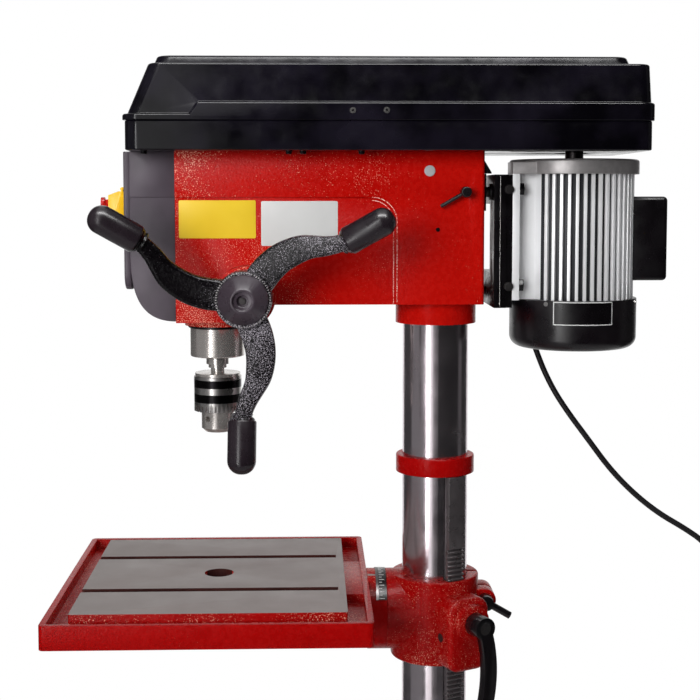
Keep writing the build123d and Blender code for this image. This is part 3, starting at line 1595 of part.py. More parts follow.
def make_crank_arm():
    """Curved crank arm with its hub and the pin that carries the grip."""
    arm = bar_x(crank_hub_radius, crank_face, crank_end, 0, crank_z)
    half = crank_arm_width / 2
    plane = crank_end - crank_arm_thickness
    down = [(0, 0), (crank_arm_bow, -crank_length * 0.45), (0, -crank_length)]
    left = Spline(*[(t - half, z) for t, z in down])
    right = Spline(*[(t + half, z) for t, z in down])
    sides = [left, right, Line(left @ 0, right @ 0), Line(left @ 1, right @ 1)]
    flat = extrude(make_face(sides), crank_arm_thickness)
    arm += Pos(plane, 0, crank_z) * side_plane * flat
    arm += bar_x(half, plane, crank_end, 0, crank_pin_z)
    arm += bar_x(crank_pin_radius, crank_end - 1, crank_end + crank_grip_length, 0, crank_pin_z)
    arm -= bar_x(crank_shaft_radius, crank_face, crank_end, 0, crank_z)
    return turned_to_rack(arm)


def make_crank_grip():
    """Turning grip on the crank's pin."""
    start = crank_end + crank_grip_gap
    end = start + crank_grip_length
    grip = bar_x(crank_grip_radius, start, end, 0, crank_pin_z)
    grip = fillet(grip.edges().group_by(Axis.X)[-1], crank_grip_radius / 2)
    grip = fillet(grip.edges().group_by(Axis.X)[0], crank_grip_edge)
    grip -= bar_x(crank_pin_radius + crank_grip_gap, start, crank_end + crank_grip_length + crank_grip_gap,
                  0, crank_pin_z)
    return turned_to_rack(grip)


def make_table_lock_lever():
    """Clamp screw through the collar's lugs with a lever rod."""
    face = lug_half_width + clamp_screw_gap
    lever = bar_x(clamp_hub_radius, face, face + clamp_hub_length, clamp_y, clamp_z)
    lever += bar_x(clamp_screw_radius, -lug_half_width - 2, face, clamp_y, clamp_z)
    rod = Pos(0, 0, clamp_rod_length / 2) * Cylinder(clamp_rod_radius, clamp_rod_length)
    lever += Pos(face + clamp_hub_length / 2, clamp_y, clamp_z) * Rot(clamp_rod_angle - 90, 0, 0) * rod
    return lever


# Table
def make_table():
    """Tilting table: rim, gutter, ground platform with two T-slots, centre hole, ribs and tilt hub."""
    rim_top = table_rim_bottom + table_rim_height
    gutter_z = rim_top - gutter_depth
    body = slab(table_width, table_length, table_corner, table_rim_bottom, rim_top, y=table_middle)
    body -= slab(table_width - 2 * table_rim_wall, table_length - 2 * table_rim_wall,
                 table_corner - table_rim_wall / 2, gutter_z, rim_top, y=table_middle)
    body += slab(platform_width, platform_length, platform_corner, gutter_z - gutter_floor, platform_top,
                 y=platform_middle)
    under = gutter_z - gutter_floor
    body += block(-gutter_pad_half_width, gutter_pad_half_width, platform_rear, table_rear - table_rim_wall,
                  under, rim_top - gutter_pad_drop)
    body -= slab(table_width - 2 * table_rim_wall, table_length - 2 * table_rim_wall,
                 table_corner - table_rim_wall / 2, table_rim_bottom, under, y=table_middle)
    inset = 2 * platform_wall
    body -= slab(platform_width - inset, platform_length - inset, platform_corner, under,
                 platform_top - platform_plate, y=platform_middle)
    for side in (-1, 1):
        x = side * table_slot_spacing / 2
        half = table_slot_t_width / 2 + platform_wall / 2
        body += block(x - half, x + half, platform_front, platform_rear, under, platform_top - platform_plate)
        end = platform_rear - table_slot_end
        body -= block(x - table_slot_width / 2, x + table_slot_width / 2, platform_front, end,
                      platform_top - table_slot_depth, platform_top)
        body -= block(x - table_slot_t_width / 2, x + table_slot_t_width / 2, platform_front, end,
                      platform_top - table_slot_depth, platform_top - table_slot_lip)
        rib_x = side * table_rib_spacing / 2
        rib = prism_x([(table_rear, tilt_z - table_rib_depth / 2), (table_rear, under),
                       (table_rear - table_rib_length, under)], rib_x - table_rib / 2, rib_x + table_rib / 2)
        body += rib
    body -= post(table_hole_radius, under, platform_top, y=spindle_y)
    hub = bar_y(tilt_hub_radius, table_rear, -tilt_face, 0, tilt_z)
    hub -= bar_y(tilt_bolt_radius + tilt_bolt_gap, table_rear, -tilt_face, 0, tilt_z)
    seat = table_rear + tilt_bolt_head_height + tilt_bolt_gap
    hub -= bar_y(tilt_bolt_head_radius + tilt_bolt_gap, table_rear, seat, 0, tilt_z)
    return body + Pos(0, -tilt_bolt_gap, 0) * hub


def make_tilt_bolt():
    """Bolt that clamps the table's tilt hub to the bracket."""
    seat = table_rear + tilt_bolt_head_height
    bolt = bar_y(tilt_bolt_radius, seat, -tilt_face + tilt_bolt_thread, 0, tilt_z)
    head = Rot(90, 0, 0) * hexagon(tilt_bolt_head_radius, 0, tilt_bolt_head_height)
    return bolt + Pos(0, seat, tilt_z) * head


# Mains cord
def make_cord_gland():
    """Tapered strain relief on the left of the head."""
    wall = head_half_width
    nut = wall + gland_nut_length
    tip = wall + gland_length
    points = [(0, wall), (gland_nut_radius, wall), (gland_nut_radius, nut), (gland_radius, nut),
              (gland_tip_radius, tip), (0, tip)]
    start = Vector(*cord_route[0])
    return Pos(0, start.Y, start.Z) * Rot(0, -90, 0) * turned(points)


def cord_path():
    """Straight runs with the largest tangent arcs that the runs allow."""
    points = [Vector(*point) for point in cord_route]
    radii = []
    for before, here, after in zip(points, points[1:], points[2:]):
        turn = math.radians((here - before).get_angle(after - here))
        shorter = min((here - before).length, (after - here).length)
        radii.append(0.45 * shorter / math.tan(turn / 2))
    print("cord radii", [round(radius) for radius in radii])
    return FilletPolyline(*points, radius=radii)


def make_power_cord():
    """Round lead swept along its route."""
    path = cord_path()
    start = Plane(origin=path @ 0, z_dir=path % 0)
    tube = sweep(start * Circle(cord_radius), path=path)
    section = math.pi * cord_radius ** 2
    print("cord length", round(path.length), "volume share", round(tube.volume / section / path.length, 4))
    return tube


def make_power_plug():
    """Two-pin plug lying at the cord's end, pointing away from it."""
    end = Vector(*cord_route[-1])
    body = slab(plug_width, plug_length, plug_height / 3, 0, plug_height)
    body = fillet(body.edges().group_by(Axis.Z)[0] + body.edges().group_by(Axis.Z)[-1], plug_height / 6)
    front = -plug_length / 2
    for side in (-1, 1):
        body += bar_y(plug_pin_radius, front - plug_pin_length, front, side * plug_pin_spacing / 2,
                      plug_height / 2)
    return Pos(end.X, end.Y - plug_length / 2, 0) * body


NODES = {
    "base": make_base(),
    "column_flange": make_column_flange(),
    "flange_bolts": make_flange_bolts(),
    "column": make_column(),
    "head_casting": make_head_casting(),
    "front_cover": make_front_cover(),
    "switch_plate": make_switch_plate(),
    "switch_body": make_switch_body(),
    "switch_flap": make_switch_flap(),
    "emergency_button": make_emergency_button(),
    "start_button": make_button(1),
    "stop_button": make_button(-1),
    "belt_tray": make_belt_tray(),
    "belt_lid": make_belt_lid(),
    "lid_hinge_pins": make_lid_hinge_pins(),
    "spindle_pulley": make_spindle_pulley(),
    "idler_shaft": make_idler_shaft(),
    "idler_pulley": make_idler_pulley(),
    "pulley_bearings": make_pulley_bearings(),
    "spindle_belt": make_spindle_belt(),
    "motor_belt": make_motor_belt(),
    "quill": make_quill(),
    "quill_bearings": make_quill_bearings(),
    "spindle": make_spindle(),
    "chuck_arbor": make_chuck_arbor(),
    "chuck_body": make_chuck_body(),
    "chuck_sleeve": make_chuck_sleeve(),
    "chuck_jaw_1": make_chuck_jaw(0),
    "chuck_jaw_2": make_chuck_jaw(1),
    "chuck_jaw_3": make_chuck_jaw(2),
    "feed_shaft": make_feed_shaft(),
    "feed_spider": make_feed_spider(),
    "feed_grips": make_feed_grips(),
    "hub_cap": make_hub_cap(),
    "spring_housing": make_spring_housing(),
    "return_spring": make_return_spring(),
    "slide_bars": make_slide_bars(),
    "motor_plate": make_motor_plate(),
    "motor_housing": make_motor_housing(),
    "motor_bolts": make_motor_bolts(),
    "motor_stator": make_motor_stator(),
    "motor_rotor": make_motor_rotor(),
    "motor_pulley": make_motor_pulley(),
    "motor_top_shield": make_motor_top_shield(),
    "motor_bottom_cover": make_motor_bottom_cover(),
    "capacitor_box": make_capacitor_box(),
    "belt_lock_lever": make_belt_lock_lever(),
    "rack_ring": make_rack_ring(),
    "rack": make_rack(),
    "table_bracket": make_table_bracket(),
    "lift_pinion": make_lift_pinion(),
    "crank_shaft": make_crank_shaft(),
    "crank_arm": make_crank_arm(),
    "crank_grip": make_crank_grip(),
    "table_lock_lever": make_table_lock_lever(),
    "table": make_table(),
    "tilt_bolt": make_tilt_bolt(),
    "cord_gland": make_cord_gland(),
    "power_cord": make_power_cord(),
    "power_plug": make_power_plug(),
}

os.makedirs("parts", exist_ok=True)
for name, shape in NODES.items():
    export_step(shape, f"parts/{name}.step")
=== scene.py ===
"""Floor drill press: finishes, fittings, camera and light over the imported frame."""

import json
import logging
import math
from dataclasses import dataclass
from enum import Enum
from typing import Dict, List, Optional, Sequence, Tuple, Union

import bmesh
import bpy
from mathutils import Matrix, Vector

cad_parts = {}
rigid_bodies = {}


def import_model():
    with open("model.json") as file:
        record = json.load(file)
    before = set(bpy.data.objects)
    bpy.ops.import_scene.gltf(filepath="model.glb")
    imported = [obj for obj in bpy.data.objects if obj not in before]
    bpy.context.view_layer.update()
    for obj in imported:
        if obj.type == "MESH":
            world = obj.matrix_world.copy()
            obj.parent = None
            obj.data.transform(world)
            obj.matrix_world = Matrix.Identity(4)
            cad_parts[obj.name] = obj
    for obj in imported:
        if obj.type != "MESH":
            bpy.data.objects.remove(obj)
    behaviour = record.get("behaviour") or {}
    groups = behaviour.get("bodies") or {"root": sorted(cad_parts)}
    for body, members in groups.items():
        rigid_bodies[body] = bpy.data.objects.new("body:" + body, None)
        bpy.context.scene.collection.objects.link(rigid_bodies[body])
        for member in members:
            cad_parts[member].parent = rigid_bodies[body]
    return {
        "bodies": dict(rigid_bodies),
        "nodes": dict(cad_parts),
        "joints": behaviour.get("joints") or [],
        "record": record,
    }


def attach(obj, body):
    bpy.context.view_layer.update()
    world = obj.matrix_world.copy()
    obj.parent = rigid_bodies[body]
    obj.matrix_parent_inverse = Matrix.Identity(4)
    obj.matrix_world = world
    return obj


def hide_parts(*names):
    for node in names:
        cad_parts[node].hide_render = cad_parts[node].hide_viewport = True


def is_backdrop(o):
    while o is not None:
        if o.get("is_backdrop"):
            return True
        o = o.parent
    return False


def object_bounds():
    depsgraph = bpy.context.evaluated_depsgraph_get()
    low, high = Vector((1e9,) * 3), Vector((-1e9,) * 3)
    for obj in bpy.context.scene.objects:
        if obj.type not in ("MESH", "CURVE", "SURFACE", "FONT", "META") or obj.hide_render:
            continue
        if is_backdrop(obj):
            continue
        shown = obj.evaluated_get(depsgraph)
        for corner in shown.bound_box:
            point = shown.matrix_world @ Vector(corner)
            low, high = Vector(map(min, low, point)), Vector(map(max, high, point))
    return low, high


LOG = logging.getLogger("drill_press")
MM = 0.001

Colour = Tuple[float, float, float]
Point = Tuple[float, float, float]
Span = Tuple[float, float]
Socket = bpy.types.NodeSocket
Value = Union[float, str, Socket, Sequence[float]]

X_AXIS: Point = (1.0, 0.0, 0.0)
Y_AXIS: Point = (0.0, 1.0, 0.0)
Z_AXIS: Point = (0.0, 0.0, 1.0)


class Body(str, Enum):
    """Rigid bodies that the fittings ride on."""

    FRAME = "frame"
    LID = "lid"
    FEED = "feed_handle"
    CARRIAGE = "carriage"
    TABLE = "table_top"


class Head(Enum):
    """Shapes of a fastener's head, by the number of its sides."""

    ROUND = 28
    HEXAGON = 6


def linked(name: str, data: bpy.types.ID) -> bpy.types.Object:
    """New object, linked into the scene.

    Args:
        name: Name of the object.
        data: Its mesh, curve, camera or lamp.

    Returns:
        The object.
    """
    made = bpy.data.objects.new(name, data)
    bpy.context.scene.collection.objects.link(made)
    return made


class NodeSheet:
    """A node tree, with short calls that add nodes and fill their inputs."""

    def __init__(self, tree: bpy.types.NodeTree) -> None:
        """Keep the tree."""
        self.tree = tree

    def put(self, socket: Socket, value: Value) -> None:
        """Link or set one input.

        Args:
            socket: The input to fill.
            value: A socket to link, or a plain value.
        """
        if isinstance(value, bpy.types.NodeSocket):
            self.tree.links.new(value, socket)
        else:
            socket.default_value = value

    def node(self, kind: str, **values: Value) -> bpy.types.Node:
        """Add a node and fill its inputs.

        Args:
            kind: Blender's node type.
            **values: Inputs by name, with underscores for spaces.

        Returns:
            The node.
        """
        made = self.tree.nodes.new(kind)
        for name, value in values.items():
            self.put(made.inputs[name.replace("_", " ")], value)
        return made

    def combine(self, operation: str, first: Value, second: Value) -> Socket:
        """Math node on two values.

        Args:
            operation: Blender's name of the operation.
            first: First value.
            second: Second value.

        Returns:
            The result's socket.
        """
        made = self.node("ShaderNodeMath")
        made.operation = operation
        self.put(made.inputs[0], first)
        self.put(made.inputs[1], second)
        return made.outputs[0]

    def mix_shaders(self, factor: Socket, first: Socket, second: Socket) -> Socket:
        """Mix Shader node.

        Args:
            factor: Share of the second shader.
            first: Shader at 0.
            second: Shader at 1.

        Returns:
            The mixed shader's socket.
        """
        made = self.node("ShaderNodeMixShader", Fac=factor)
        self.put(made.inputs[1], first)
        self.put(made.inputs[2], second)
        return made.outputs[0]


class ShaderSheet(NodeSheet):
    """A material's node tree, with short calls for the nodes that the finishes use."""

    def __init__(self, name: str) -> None:
        """Start a material with one Principled shader and Object coordinates.

        Args:
            name: Name of the material.
        """
        self.material = bpy.data.materials.new(name)
        self.material.use_nodes = True
        super().__init__(self.material.node_tree)
        self.tree.nodes.clear()
        self.shader = self.node("ShaderNodeBsdfPrincipled")
        self.output = self.node("ShaderNodeOutputMaterial", Surface=self.shader.outputs[0])
        self.place = self.node("ShaderNodeTexCoord").outputs["Object"]

    def mapped(self, scale: Point) -> Socket:
        """Object coordinates, each axis stretched by its own scale."""
        return self.node("ShaderNodeMapping", Vector=self.place, Scale=scale).outputs["Vector"]

    def noise(self, scale: float, detail: float = 3.0, where: Optional[Socket] = None) -> Socket:
        """Noise texture.

        Args:
            scale: Features per metre, or per unit of the given coordinates.
            detail: Number of finer layers.
            where: Coordinates; Object coordinates if left out.

        Returns:
            The factor socket.
        """
        made = self.node("ShaderNodeTexNoise", Vector=where or self.place, Scale=scale, Detail=detail)
        return made.outputs[0]

    def cells(self, scale: float, smooth: float) -> Socket:
        """Smooth Voronoi cells.

        Args:
            scale: Cells per metre.
            smooth: How far the cells melt together.

        Returns:
            The distance socket.
        """
        made = self.node("ShaderNodeTexVoronoi", Vector=self.place, Scale=scale)
        made.feature = "SMOOTH_F1"
        self.put(made.inputs["Smoothness"], smooth)
        return made.outputs["Distance"]

    def ramp(self, value: Socket, low: float, high: float, first: float = 0.0, last: float = 1.0) -> Socket:
        """Map a value from one span to another, held at both ends.

        Args:
            value: The value to map.
            low: Start of the span read.
            high: End of the span read.
            first: Result at the start.
            last: Result at the end.

        Returns:
            The mapped value's socket.
        """
        made = self.node("ShaderNodeMapRange", Value=value, From_Min=low, From_Max=high, To_Min=first,
                         To_Max=last)
        return made.outputs[0]

    def blend(self, factor: Socket, first: Union[Colour, Socket], second: Union[Colour, Socket]) -> Socket:
        """Mix two colours.

        Args:
            factor: Share of the second colour.
            first: Colour at 0.
            second: Colour at 1.

        Returns:
            The colour socket.
        """
        made = self.node("ShaderNodeMix")
        made.data_type = "RGBA"
        self.put(made.inputs["Factor"], factor)
        for name, colour in (("A", first), ("B", second)):
            plain = not isinstance(colour, bpy.types.NodeSocket)
            self.put(made.inputs[name], (*colour, 1.0) if plain else colour)
        return made.outputs["Result"]

    def along(self, axis: str) -> Socket:
        """One of the Object coordinates, by the letter of its axis."""
        return self.node("ShaderNodeSeparateXYZ", Vector=self.place).outputs[axis]

    def between(self, low: float, high: float) -> Socket:
        """Mask of the heights between two levels.

        Args:
            low: Lower level in metres.
            high: Upper level in metres.

        Returns:
            The mask's socket.
        """
        height = self.along("Z")
        return self.combine("MULTIPLY", self.combine("GREATER_THAN", height, low),
                            self.combine("LESS_THAN", height, high))

    def relief(self, height: Socket, strength: float, depth: float) -> Socket:
        """Bump node.

        Args:
            height: Height map.
            strength: Share of the effect.
            depth: Height of the relief in metres.

        Returns:
            The normal socket.
        """
        return self.node("ShaderNodeBump", Height=height, Strength=strength, Distance=depth).outputs[0]

    def dress(self, **values: Value) -> bpy.types.Material:
        """Fill the shader's inputs and hand over the material.

        Args:
            **values: Inputs by name, with underscores for spaces.

        Returns:
            The material.
        """
        for name, value in values.items():
            self.put(self.shader.inputs[name.replace("_", " ")], value)
        return self.material


@dataclass(frozen=True)
class Enamel:
    """Sprayed enamel on rough castings: a pebbled skin whose crowns carry painted glints, bright specks put
    in the base colour.
    """

    name: str
    colour: Colour
    shade: Colour
    pebble: float = 2.6
    height: float = 0.35
    gloss: float = 0.26
    shine: float = 0.08
    # Colour of the painted glints, their size, and how thickly they are painted towards the front and the
    # rear along Y.
    painted_glint: Colour = (0.85, 0.38, 0.27)
    speck: float = 1.5
    front_glint_density: float = -0.13
    rear_glint_density: float = -0.13
    front_at: float = -0.36
    rear_at: float = 0.02

    def make(self) -> bpy.types.Material:
        """Build the material.

        Returns:
            The material.
        """
        sheet = ShaderSheet(self.name)
        grain = sheet.cells(1 / (self.pebble * MM), 0.7)
        swell = sheet.noise(0.4 / (self.pebble * MM), 3.0)
        broad = sheet.noise(7.0, 2.0)
        mass = sheet.combine("ADD", sheet.combine("MULTIPLY", grain, 0.8), swell)
        cloud = sheet.combine("ADD", broad, sheet.combine("MULTIPLY", swell, 0.6))
        body = sheet.blend(sheet.ramp(cloud, 0.55, 1.0), self.shade, self.colour)
        # Painted highlights: bright specks in the base colour stand for glints on the paint's crowns, painted
        # more or less thickly along Y by where the light falls.
        speck = sheet.noise(1 / (self.speck * MM), 1.0)
        patch = sheet.combine("MULTIPLY", sheet.noise(11.0, 4.0), 0.45)
        glint_by_place = sheet.ramp(sheet.along("Y"), self.front_at, self.rear_at, self.front_glint_density,
                            self.rear_glint_density)
        density = sheet.combine("ADD", sheet.combine("ADD", speck, patch), glint_by_place)
        crown = sheet.ramp(density, 0.88, 1.02)
        return sheet.dress(
            Base_Color=sheet.blend(crown, body, self.painted_glint),
            Roughness=sheet.ramp(swell, 0.3, 0.7, self.gloss - 0.06, self.gloss + 0.08),
            Normal=sheet.relief(mass, 0.75, self.height * MM),
            Specular_IOR_Level=self.shine,
        )


@dataclass(frozen=True)
class Moulding:
    """Moulded plastic or powder coat with a fine grain."""

    name: str
    colour: Colour
    shade: Colour
    grain: float = 0.9
    height: float = 0.05
    rough: float = 0.38
    shine: float = 0.3

    def make(self) -> bpy.types.Material:
        """Build the material.

        Returns:
            The material.
        """
        sheet = ShaderSheet(self.name)
        fine = sheet.noise(1 / (self.grain * MM), 2.0)
        broad = sheet.noise(14.0, 3.0)
        return sheet.dress(
            Base_Color=sheet.blend(sheet.ramp(broad, 0.35, 0.65), self.shade, self.colour),
            Roughness=sheet.ramp(sheet.noise(40.0, 4.0), 0.3, 0.7, self.rough - 0.06, self.rough + 0.08),
            Normal=sheet.relief(fine, 0.6, self.height * MM),
            Specular_IOR_Level=self.shine,
        )


class Grain(Enum):
    """Which way a tool has left its lines on a metal face, as a stretch of the pattern's axes."""

    ROUND_Z = (4.0, 4.0, 1400.0)
    ROUND_X = (1400.0, 4.0, 4.0)
    LENGTH_Y = (900.0, 3.0, 3.0)
    LENGTH_Z = (900.0, 900.0, 3.0)
    NONE = (120.0, 120.0, 120.0)


@dataclass(frozen=True)
class BareMetal:
    """Machined, ground or cast metal with tool lines, stains and small pits."""

    name: str
    colour: Colour
    shade: Colour
    rough: float = 0.3
    grain: Grain = Grain.NONE
    line: float = 0.02
    metallic: float = 1.0
    bands: Tuple[Span, ...] = ()
    band_colour: Colour = (0.012, 0.011, 0.012)

    def make(self) -> bpy.types.Material:
        """Build the material.

        Returns:
            The material.
        """
        sheet = ShaderSheet(self.name)
        lines = sheet.noise(1.0, 2.0, sheet.mapped(self.grain.value))
        stain = sheet.noise(22.0, 4.0)
        worn = sheet.ramp(stain, 0.3, 0.62, 0.7, 1.0)
        tone = sheet.combine("MULTIPLY", sheet.ramp(lines, 0.25, 0.75, 0.55, 1.0), worn)
        colour = sheet.blend(tone, self.shade, self.colour)
        for low, high in self.bands:
            colour = sheet.blend(sheet.between(low * MM, high * MM), colour, self.band_colour)
        return sheet.dress(
            Base_Color=colour,
            Metallic=self.metallic,
            Roughness=sheet.ramp(stain, 0.3, 0.7, self.rough + 0.08, self.rough - 0.05),
            Normal=sheet.relief(lines, 0.5, self.line * MM),
        )


@dataclass(frozen=True)
class ToothedSteel:
    """Steel bar with painted shade in its tooth gaps, darkening towards their roots."""

    name: str
    colour: Colour
    gap_shade: Colour
    turn: float = 27.0
    root: float = 47.2
    tip: float = 50.5

    def make(self) -> bpy.types.Material:
        """Build the material.

        Returns:
            The material.
        """
        sheet = ShaderSheet(self.name)
        turn = math.radians(self.turn)
        out = sheet.combine("ADD", sheet.combine("MULTIPLY", sheet.along("X"), math.cos(turn)),
                            sheet.combine("MULTIPLY", sheet.along("Y"), math.sin(turn)))
        # Painted shade: the base colour darkens from the tooth tips down to their roots.
        painted_depth_shade = sheet.ramp(out, self.root * MM, self.tip * MM, 1.0, 0.0)
        return sheet.dress(
            Base_Color=sheet.blend(painted_depth_shade, self.colour, self.gap_shade),
            Metallic=0.8,
            Roughness=sheet.ramp(sheet.noise(90.0, 4.0), 0.3, 0.7, 0.24, 0.4),
            Normal=sheet.relief(sheet.noise(700.0, 2.0), 0.5, 0.06 * MM),
        )


@dataclass(frozen=True)
class FinnedCasting:
    """Bright motor casting with painted shade in its grooves, darkening towards their floor."""

    name: str
    colour: Colour
    groove_shade: Colour
    axis_y: float = 189.5
    floor_radius: float = 75.0
    tip_radius: float = 77.4
    fins_from_y: float = 136.0
    rough: float = 0.4

    def make(self) -> bpy.types.Material:
        """Build the material.

        Returns:
            The material.
        """
        sheet = ShaderSheet(self.name)
        across = sheet.along("X")
        back = sheet.along("Y")
        away = sheet.combine("SUBTRACT", back, self.axis_y * MM)
        square = sheet.combine("ADD", sheet.combine("MULTIPLY", across, across),
                               sheet.combine("MULTIPLY", away, away))
        radius = sheet.combine("POWER", square, 0.5)
        # Painted shade: the base colour darkens from the fin tips down to the groove floor, only where the
        # fins are.
        painted_depth_shade = sheet.ramp(radius, self.floor_radius * MM, self.tip_radius * MM, 1.0, 0.0)
        finned = sheet.combine("GREATER_THAN", back, self.fins_from_y * MM)
        skin = sheet.noise(1.0, 2.0, sheet.mapped(Grain.LENGTH_Z.value))
        return sheet.dress(
            Base_Color=sheet.blend(sheet.combine("MULTIPLY", painted_depth_shade, finned), self.colour, self.groove_shade),
            Metallic=0.45,
            Roughness=self.rough,
            Normal=sheet.relief(skin, 0.5, 0.03 * MM),
        )


class Paintbox:
    """Finishes of the machine, made once each."""

    sleeve_bands: Tuple[Span, ...] = ((1184.7, 1196.0), (1204.8, 1215.6))

    def __init__(self) -> None:
        """Mix every finish."""
        finishes = (*self.enamels(), *self.mouldings(), *self.metals())
        self.finishes: Dict[str, bpy.types.Material] = {finish.name: finish.make() for finish in finishes}

    def __getitem__(self, name: str) -> bpy.types.Material:
        """One finish by its name."""
        return self.finishes[name]

    @staticmethod
    def enamels() -> Tuple[Enamel, ...]:
        """Sprayed enamels of the castings and of the feed handle."""
        return (
            Enamel("red_enamel", (0.38, 0.0016, 0.0014), (0.31, 0.001, 0.001)),
            Enamel("head_enamel", (0.46, 0.004, 0.0016), (0.37, 0.002, 0.001), front_glint_density=0.07,
                   rear_glint_density=-0.11),
            # Lighter enamel thick with painted glints, used for the painted highlight lines along the head's
            # side panel.
            Enamel("edge_highlight_enamel", (0.5, 0.05, 0.03), (0.42, 0.02, 0.015), painted_glint=(0.9, 0.62, 0.54),
                   speck=1.2, front_glint_density=0.2, rear_glint_density=0.2),
            Enamel("speckled_enamel", (0.36, 0.0016, 0.0014), (0.26, 0.001, 0.001), front_glint_density=0.03,
                   rear_glint_density=0.03),
            Enamel("crackle_black", (0.004, 0.003, 0.004), (0.0015, 0.001, 0.0015), pebble=1.9, height=0.45,
                   gloss=0.24, shine=0.24, painted_glint=(0.36, 0.33, 0.37), speck=1.2, front_glint_density=-0.1,
                   rear_glint_density=0.1, front_at=-0.33, rear_at=-0.27),
        )

    @staticmethod
    def mouldings() -> Tuple[Moulding, ...]:
        """Plastics, rubbers, plain paints and blank labels."""
        return (
            Moulding("cover_black", (0.008, 0.0065, 0.012), (0.0012, 0.0009, 0.002), grain=1.1, height=0.01,
                     rough=0.16),
            Moulding("satin_black", (0.08, 0.064, 0.08), (0.05, 0.04, 0.05), grain=0.8, height=0.06,
                     rough=0.4),
            Moulding("plate_black", (0.0035, 0.0025, 0.0035), (0.0015, 0.001, 0.0015), grain=1.4,
                     height=0.04, rough=0.28, shine=0.35),
            Moulding("gloss_black", (0.005, 0.003, 0.0045), (0.002, 0.0012, 0.002), grain=1.8, height=0.01,
                     rough=0.3, shine=0.5),
            Moulding("grip_black", (0.018, 0.012, 0.016), (0.011, 0.007, 0.01), grain=2.0, height=0.01,
                     rough=0.27, shine=0.45),
            Moulding("cap_black", (0.06, 0.045, 0.058), (0.036, 0.026, 0.034), grain=1.2, height=0.03,
                     rough=0.28, shine=0.5),
            Moulding("yellow_moulding", (0.88, 0.5, 0.008), (0.76, 0.4, 0.005), grain=1.2, height=0.02,
                     rough=0.28),
            Moulding("red_moulding", (0.48, 0.006, 0.006), (0.36, 0.004, 0.004), grain=1.2, height=0.02,
                     rough=0.25),
            Moulding("green_moulding", (0.02, 0.3, 0.06), (0.01, 0.2, 0.04), grain=1.2, height=0.02,
                     rough=0.28),
            Moulding("cord_black", (0.012, 0.011, 0.012), (0.007, 0.006, 0.007), grain=0.8, rough=0.45),
            Moulding("belt_rubber", (0.02, 0.02, 0.02), (0.01, 0.01, 0.01), grain=0.7, height=0.1,
                     rough=0.6),
            Moulding("label_white", (0.62, 0.62, 0.61), (0.58, 0.58, 0.57), grain=0.6, height=0.01,
                     rough=0.4),
            Moulding("label_yellow", (0.84, 0.58, 0.03), (0.78, 0.52, 0.02), grain=0.6, height=0.01,
                     rough=0.4),
            # Dark brown of the table's slots and hole: partly dirty iron, partly painted shade in the
            # recesses.
            Moulding("slot_dirt_and_shade", (0.045, 0.009, 0.007), (0.025, 0.005, 0.004), grain=2.0, height=0.1,
                     rough=0.6, shine=0.1),
        )

    def metals(self) -> Tuple[Union[BareMetal, FinnedCasting, ToothedSteel], ...]:
        """Turned, ground, cast, plated and toothed metals."""
        return (
            BareMetal("turned_steel", (0.66, 0.62, 0.59), (0.56, 0.525, 0.5), rough=0.2,
                      grain=Grain.ROUND_Z, line=0.006, metallic=0.84),
            BareMetal("turned_steel_x", (0.66, 0.63, 0.61), (0.4, 0.37, 0.36), rough=0.2,
                      grain=Grain.ROUND_X),
            BareMetal("column_steel", (0.82, 0.73, 0.78), (0.52, 0.46, 0.48), rough=0.2,
                      grain=Grain.ROUND_Z),
            BareMetal("sleeve_steel", (0.6, 0.58, 0.57), (0.38, 0.36, 0.35), rough=0.24,
                      grain=Grain.ROUND_Z, bands=self.sleeve_bands),
            BareMetal("ground_iron", (0.27, 0.235, 0.225), (0.235, 0.205, 0.195), rough=0.55,
                      grain=Grain.LENGTH_Y, line=0.01, metallic=0.3),
            BareMetal("cast_aluminium", (0.84, 0.84, 0.84), (0.62, 0.62, 0.62), rough=0.42,
                      grain=Grain.LENGTH_Z, line=0.03, metallic=0.6),
            BareMetal("shield_grey", (0.49, 0.465, 0.465), (0.26, 0.245, 0.245), rough=0.4, line=0.04,
                      metallic=0.75),
            BareMetal("bright_steel", (0.7, 0.68, 0.66), (0.45, 0.43, 0.42), rough=0.22),
            BareMetal("zinc_plate", (0.72, 0.73, 0.75), (0.5, 0.51, 0.52), rough=0.34, metallic=0.55),
            BareMetal("dark_steel", (0.13, 0.12, 0.12), (0.05, 0.045, 0.047), rough=0.36),
            BareMetal("blued_steel", (0.12, 0.13, 0.17), (0.06, 0.06, 0.09)),
            FinnedCasting("finned_aluminium", (0.95, 0.95, 0.96), (0.03, 0.03, 0.034)),
            ToothedSteel("rack_steel", (0.18, 0.16, 0.165), (0.01, 0.008, 0.008)),
        )


class Bench:
    """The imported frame, the finishes, and the calls that put pieces on it."""

    def __init__(self) -> None:
        """Load the frame and keep its box."""
        self.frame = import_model()
        self.cad_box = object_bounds()
        self.paint = Paintbox()

    def place(self, piece: bpy.types.Object, body: Union[Body, str], finish: str, slot: str,
              stands_for: Sequence[str] = ()) -> bpy.types.Object:
        """Give a piece its finish and body, and hide the CAD nodes that it stands for.

        Args:
            piece: The finished object.
            body: Body that it rides on.
            finish: Name of its finish; left as it is if empty.
            slot: Material slot in the record; not used.
            stands_for: CAD nodes that it replaces.

        Returns:
            The piece.
        """
        if finish:
            piece.data.materials.clear()
            piece.data.materials.append(self.paint[finish])
        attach(piece, body.value if isinstance(body, Body) else body)
        if stands_for:
            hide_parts(*stands_for)
        LOG.info("placed %s", piece.name)
        return piece

    def body_of(self, node: str) -> str:
        """Name of the body that holds a CAD node."""
        bodies = self.frame["record"]["behaviour"]["bodies"]
        return next(name for name, nodes in bodies.items() if node in nodes)

    def slot_of(self, node: str) -> str:
        """Material slot of a CAD node."""
        parts = self.frame["record"]["subparts"]
        return next(part["material_slot"] for part in parts if part["node"] == node)


@dataclass
class CadDress:
    """Finish and edge rounding of one CAD node, in millimetres; edges above a height may be bolder."""

    finish: str
    edge: float = 0.0
    bold_edge: float = 0.0
    bold_above: float = 0.0
    clamp: bool = True


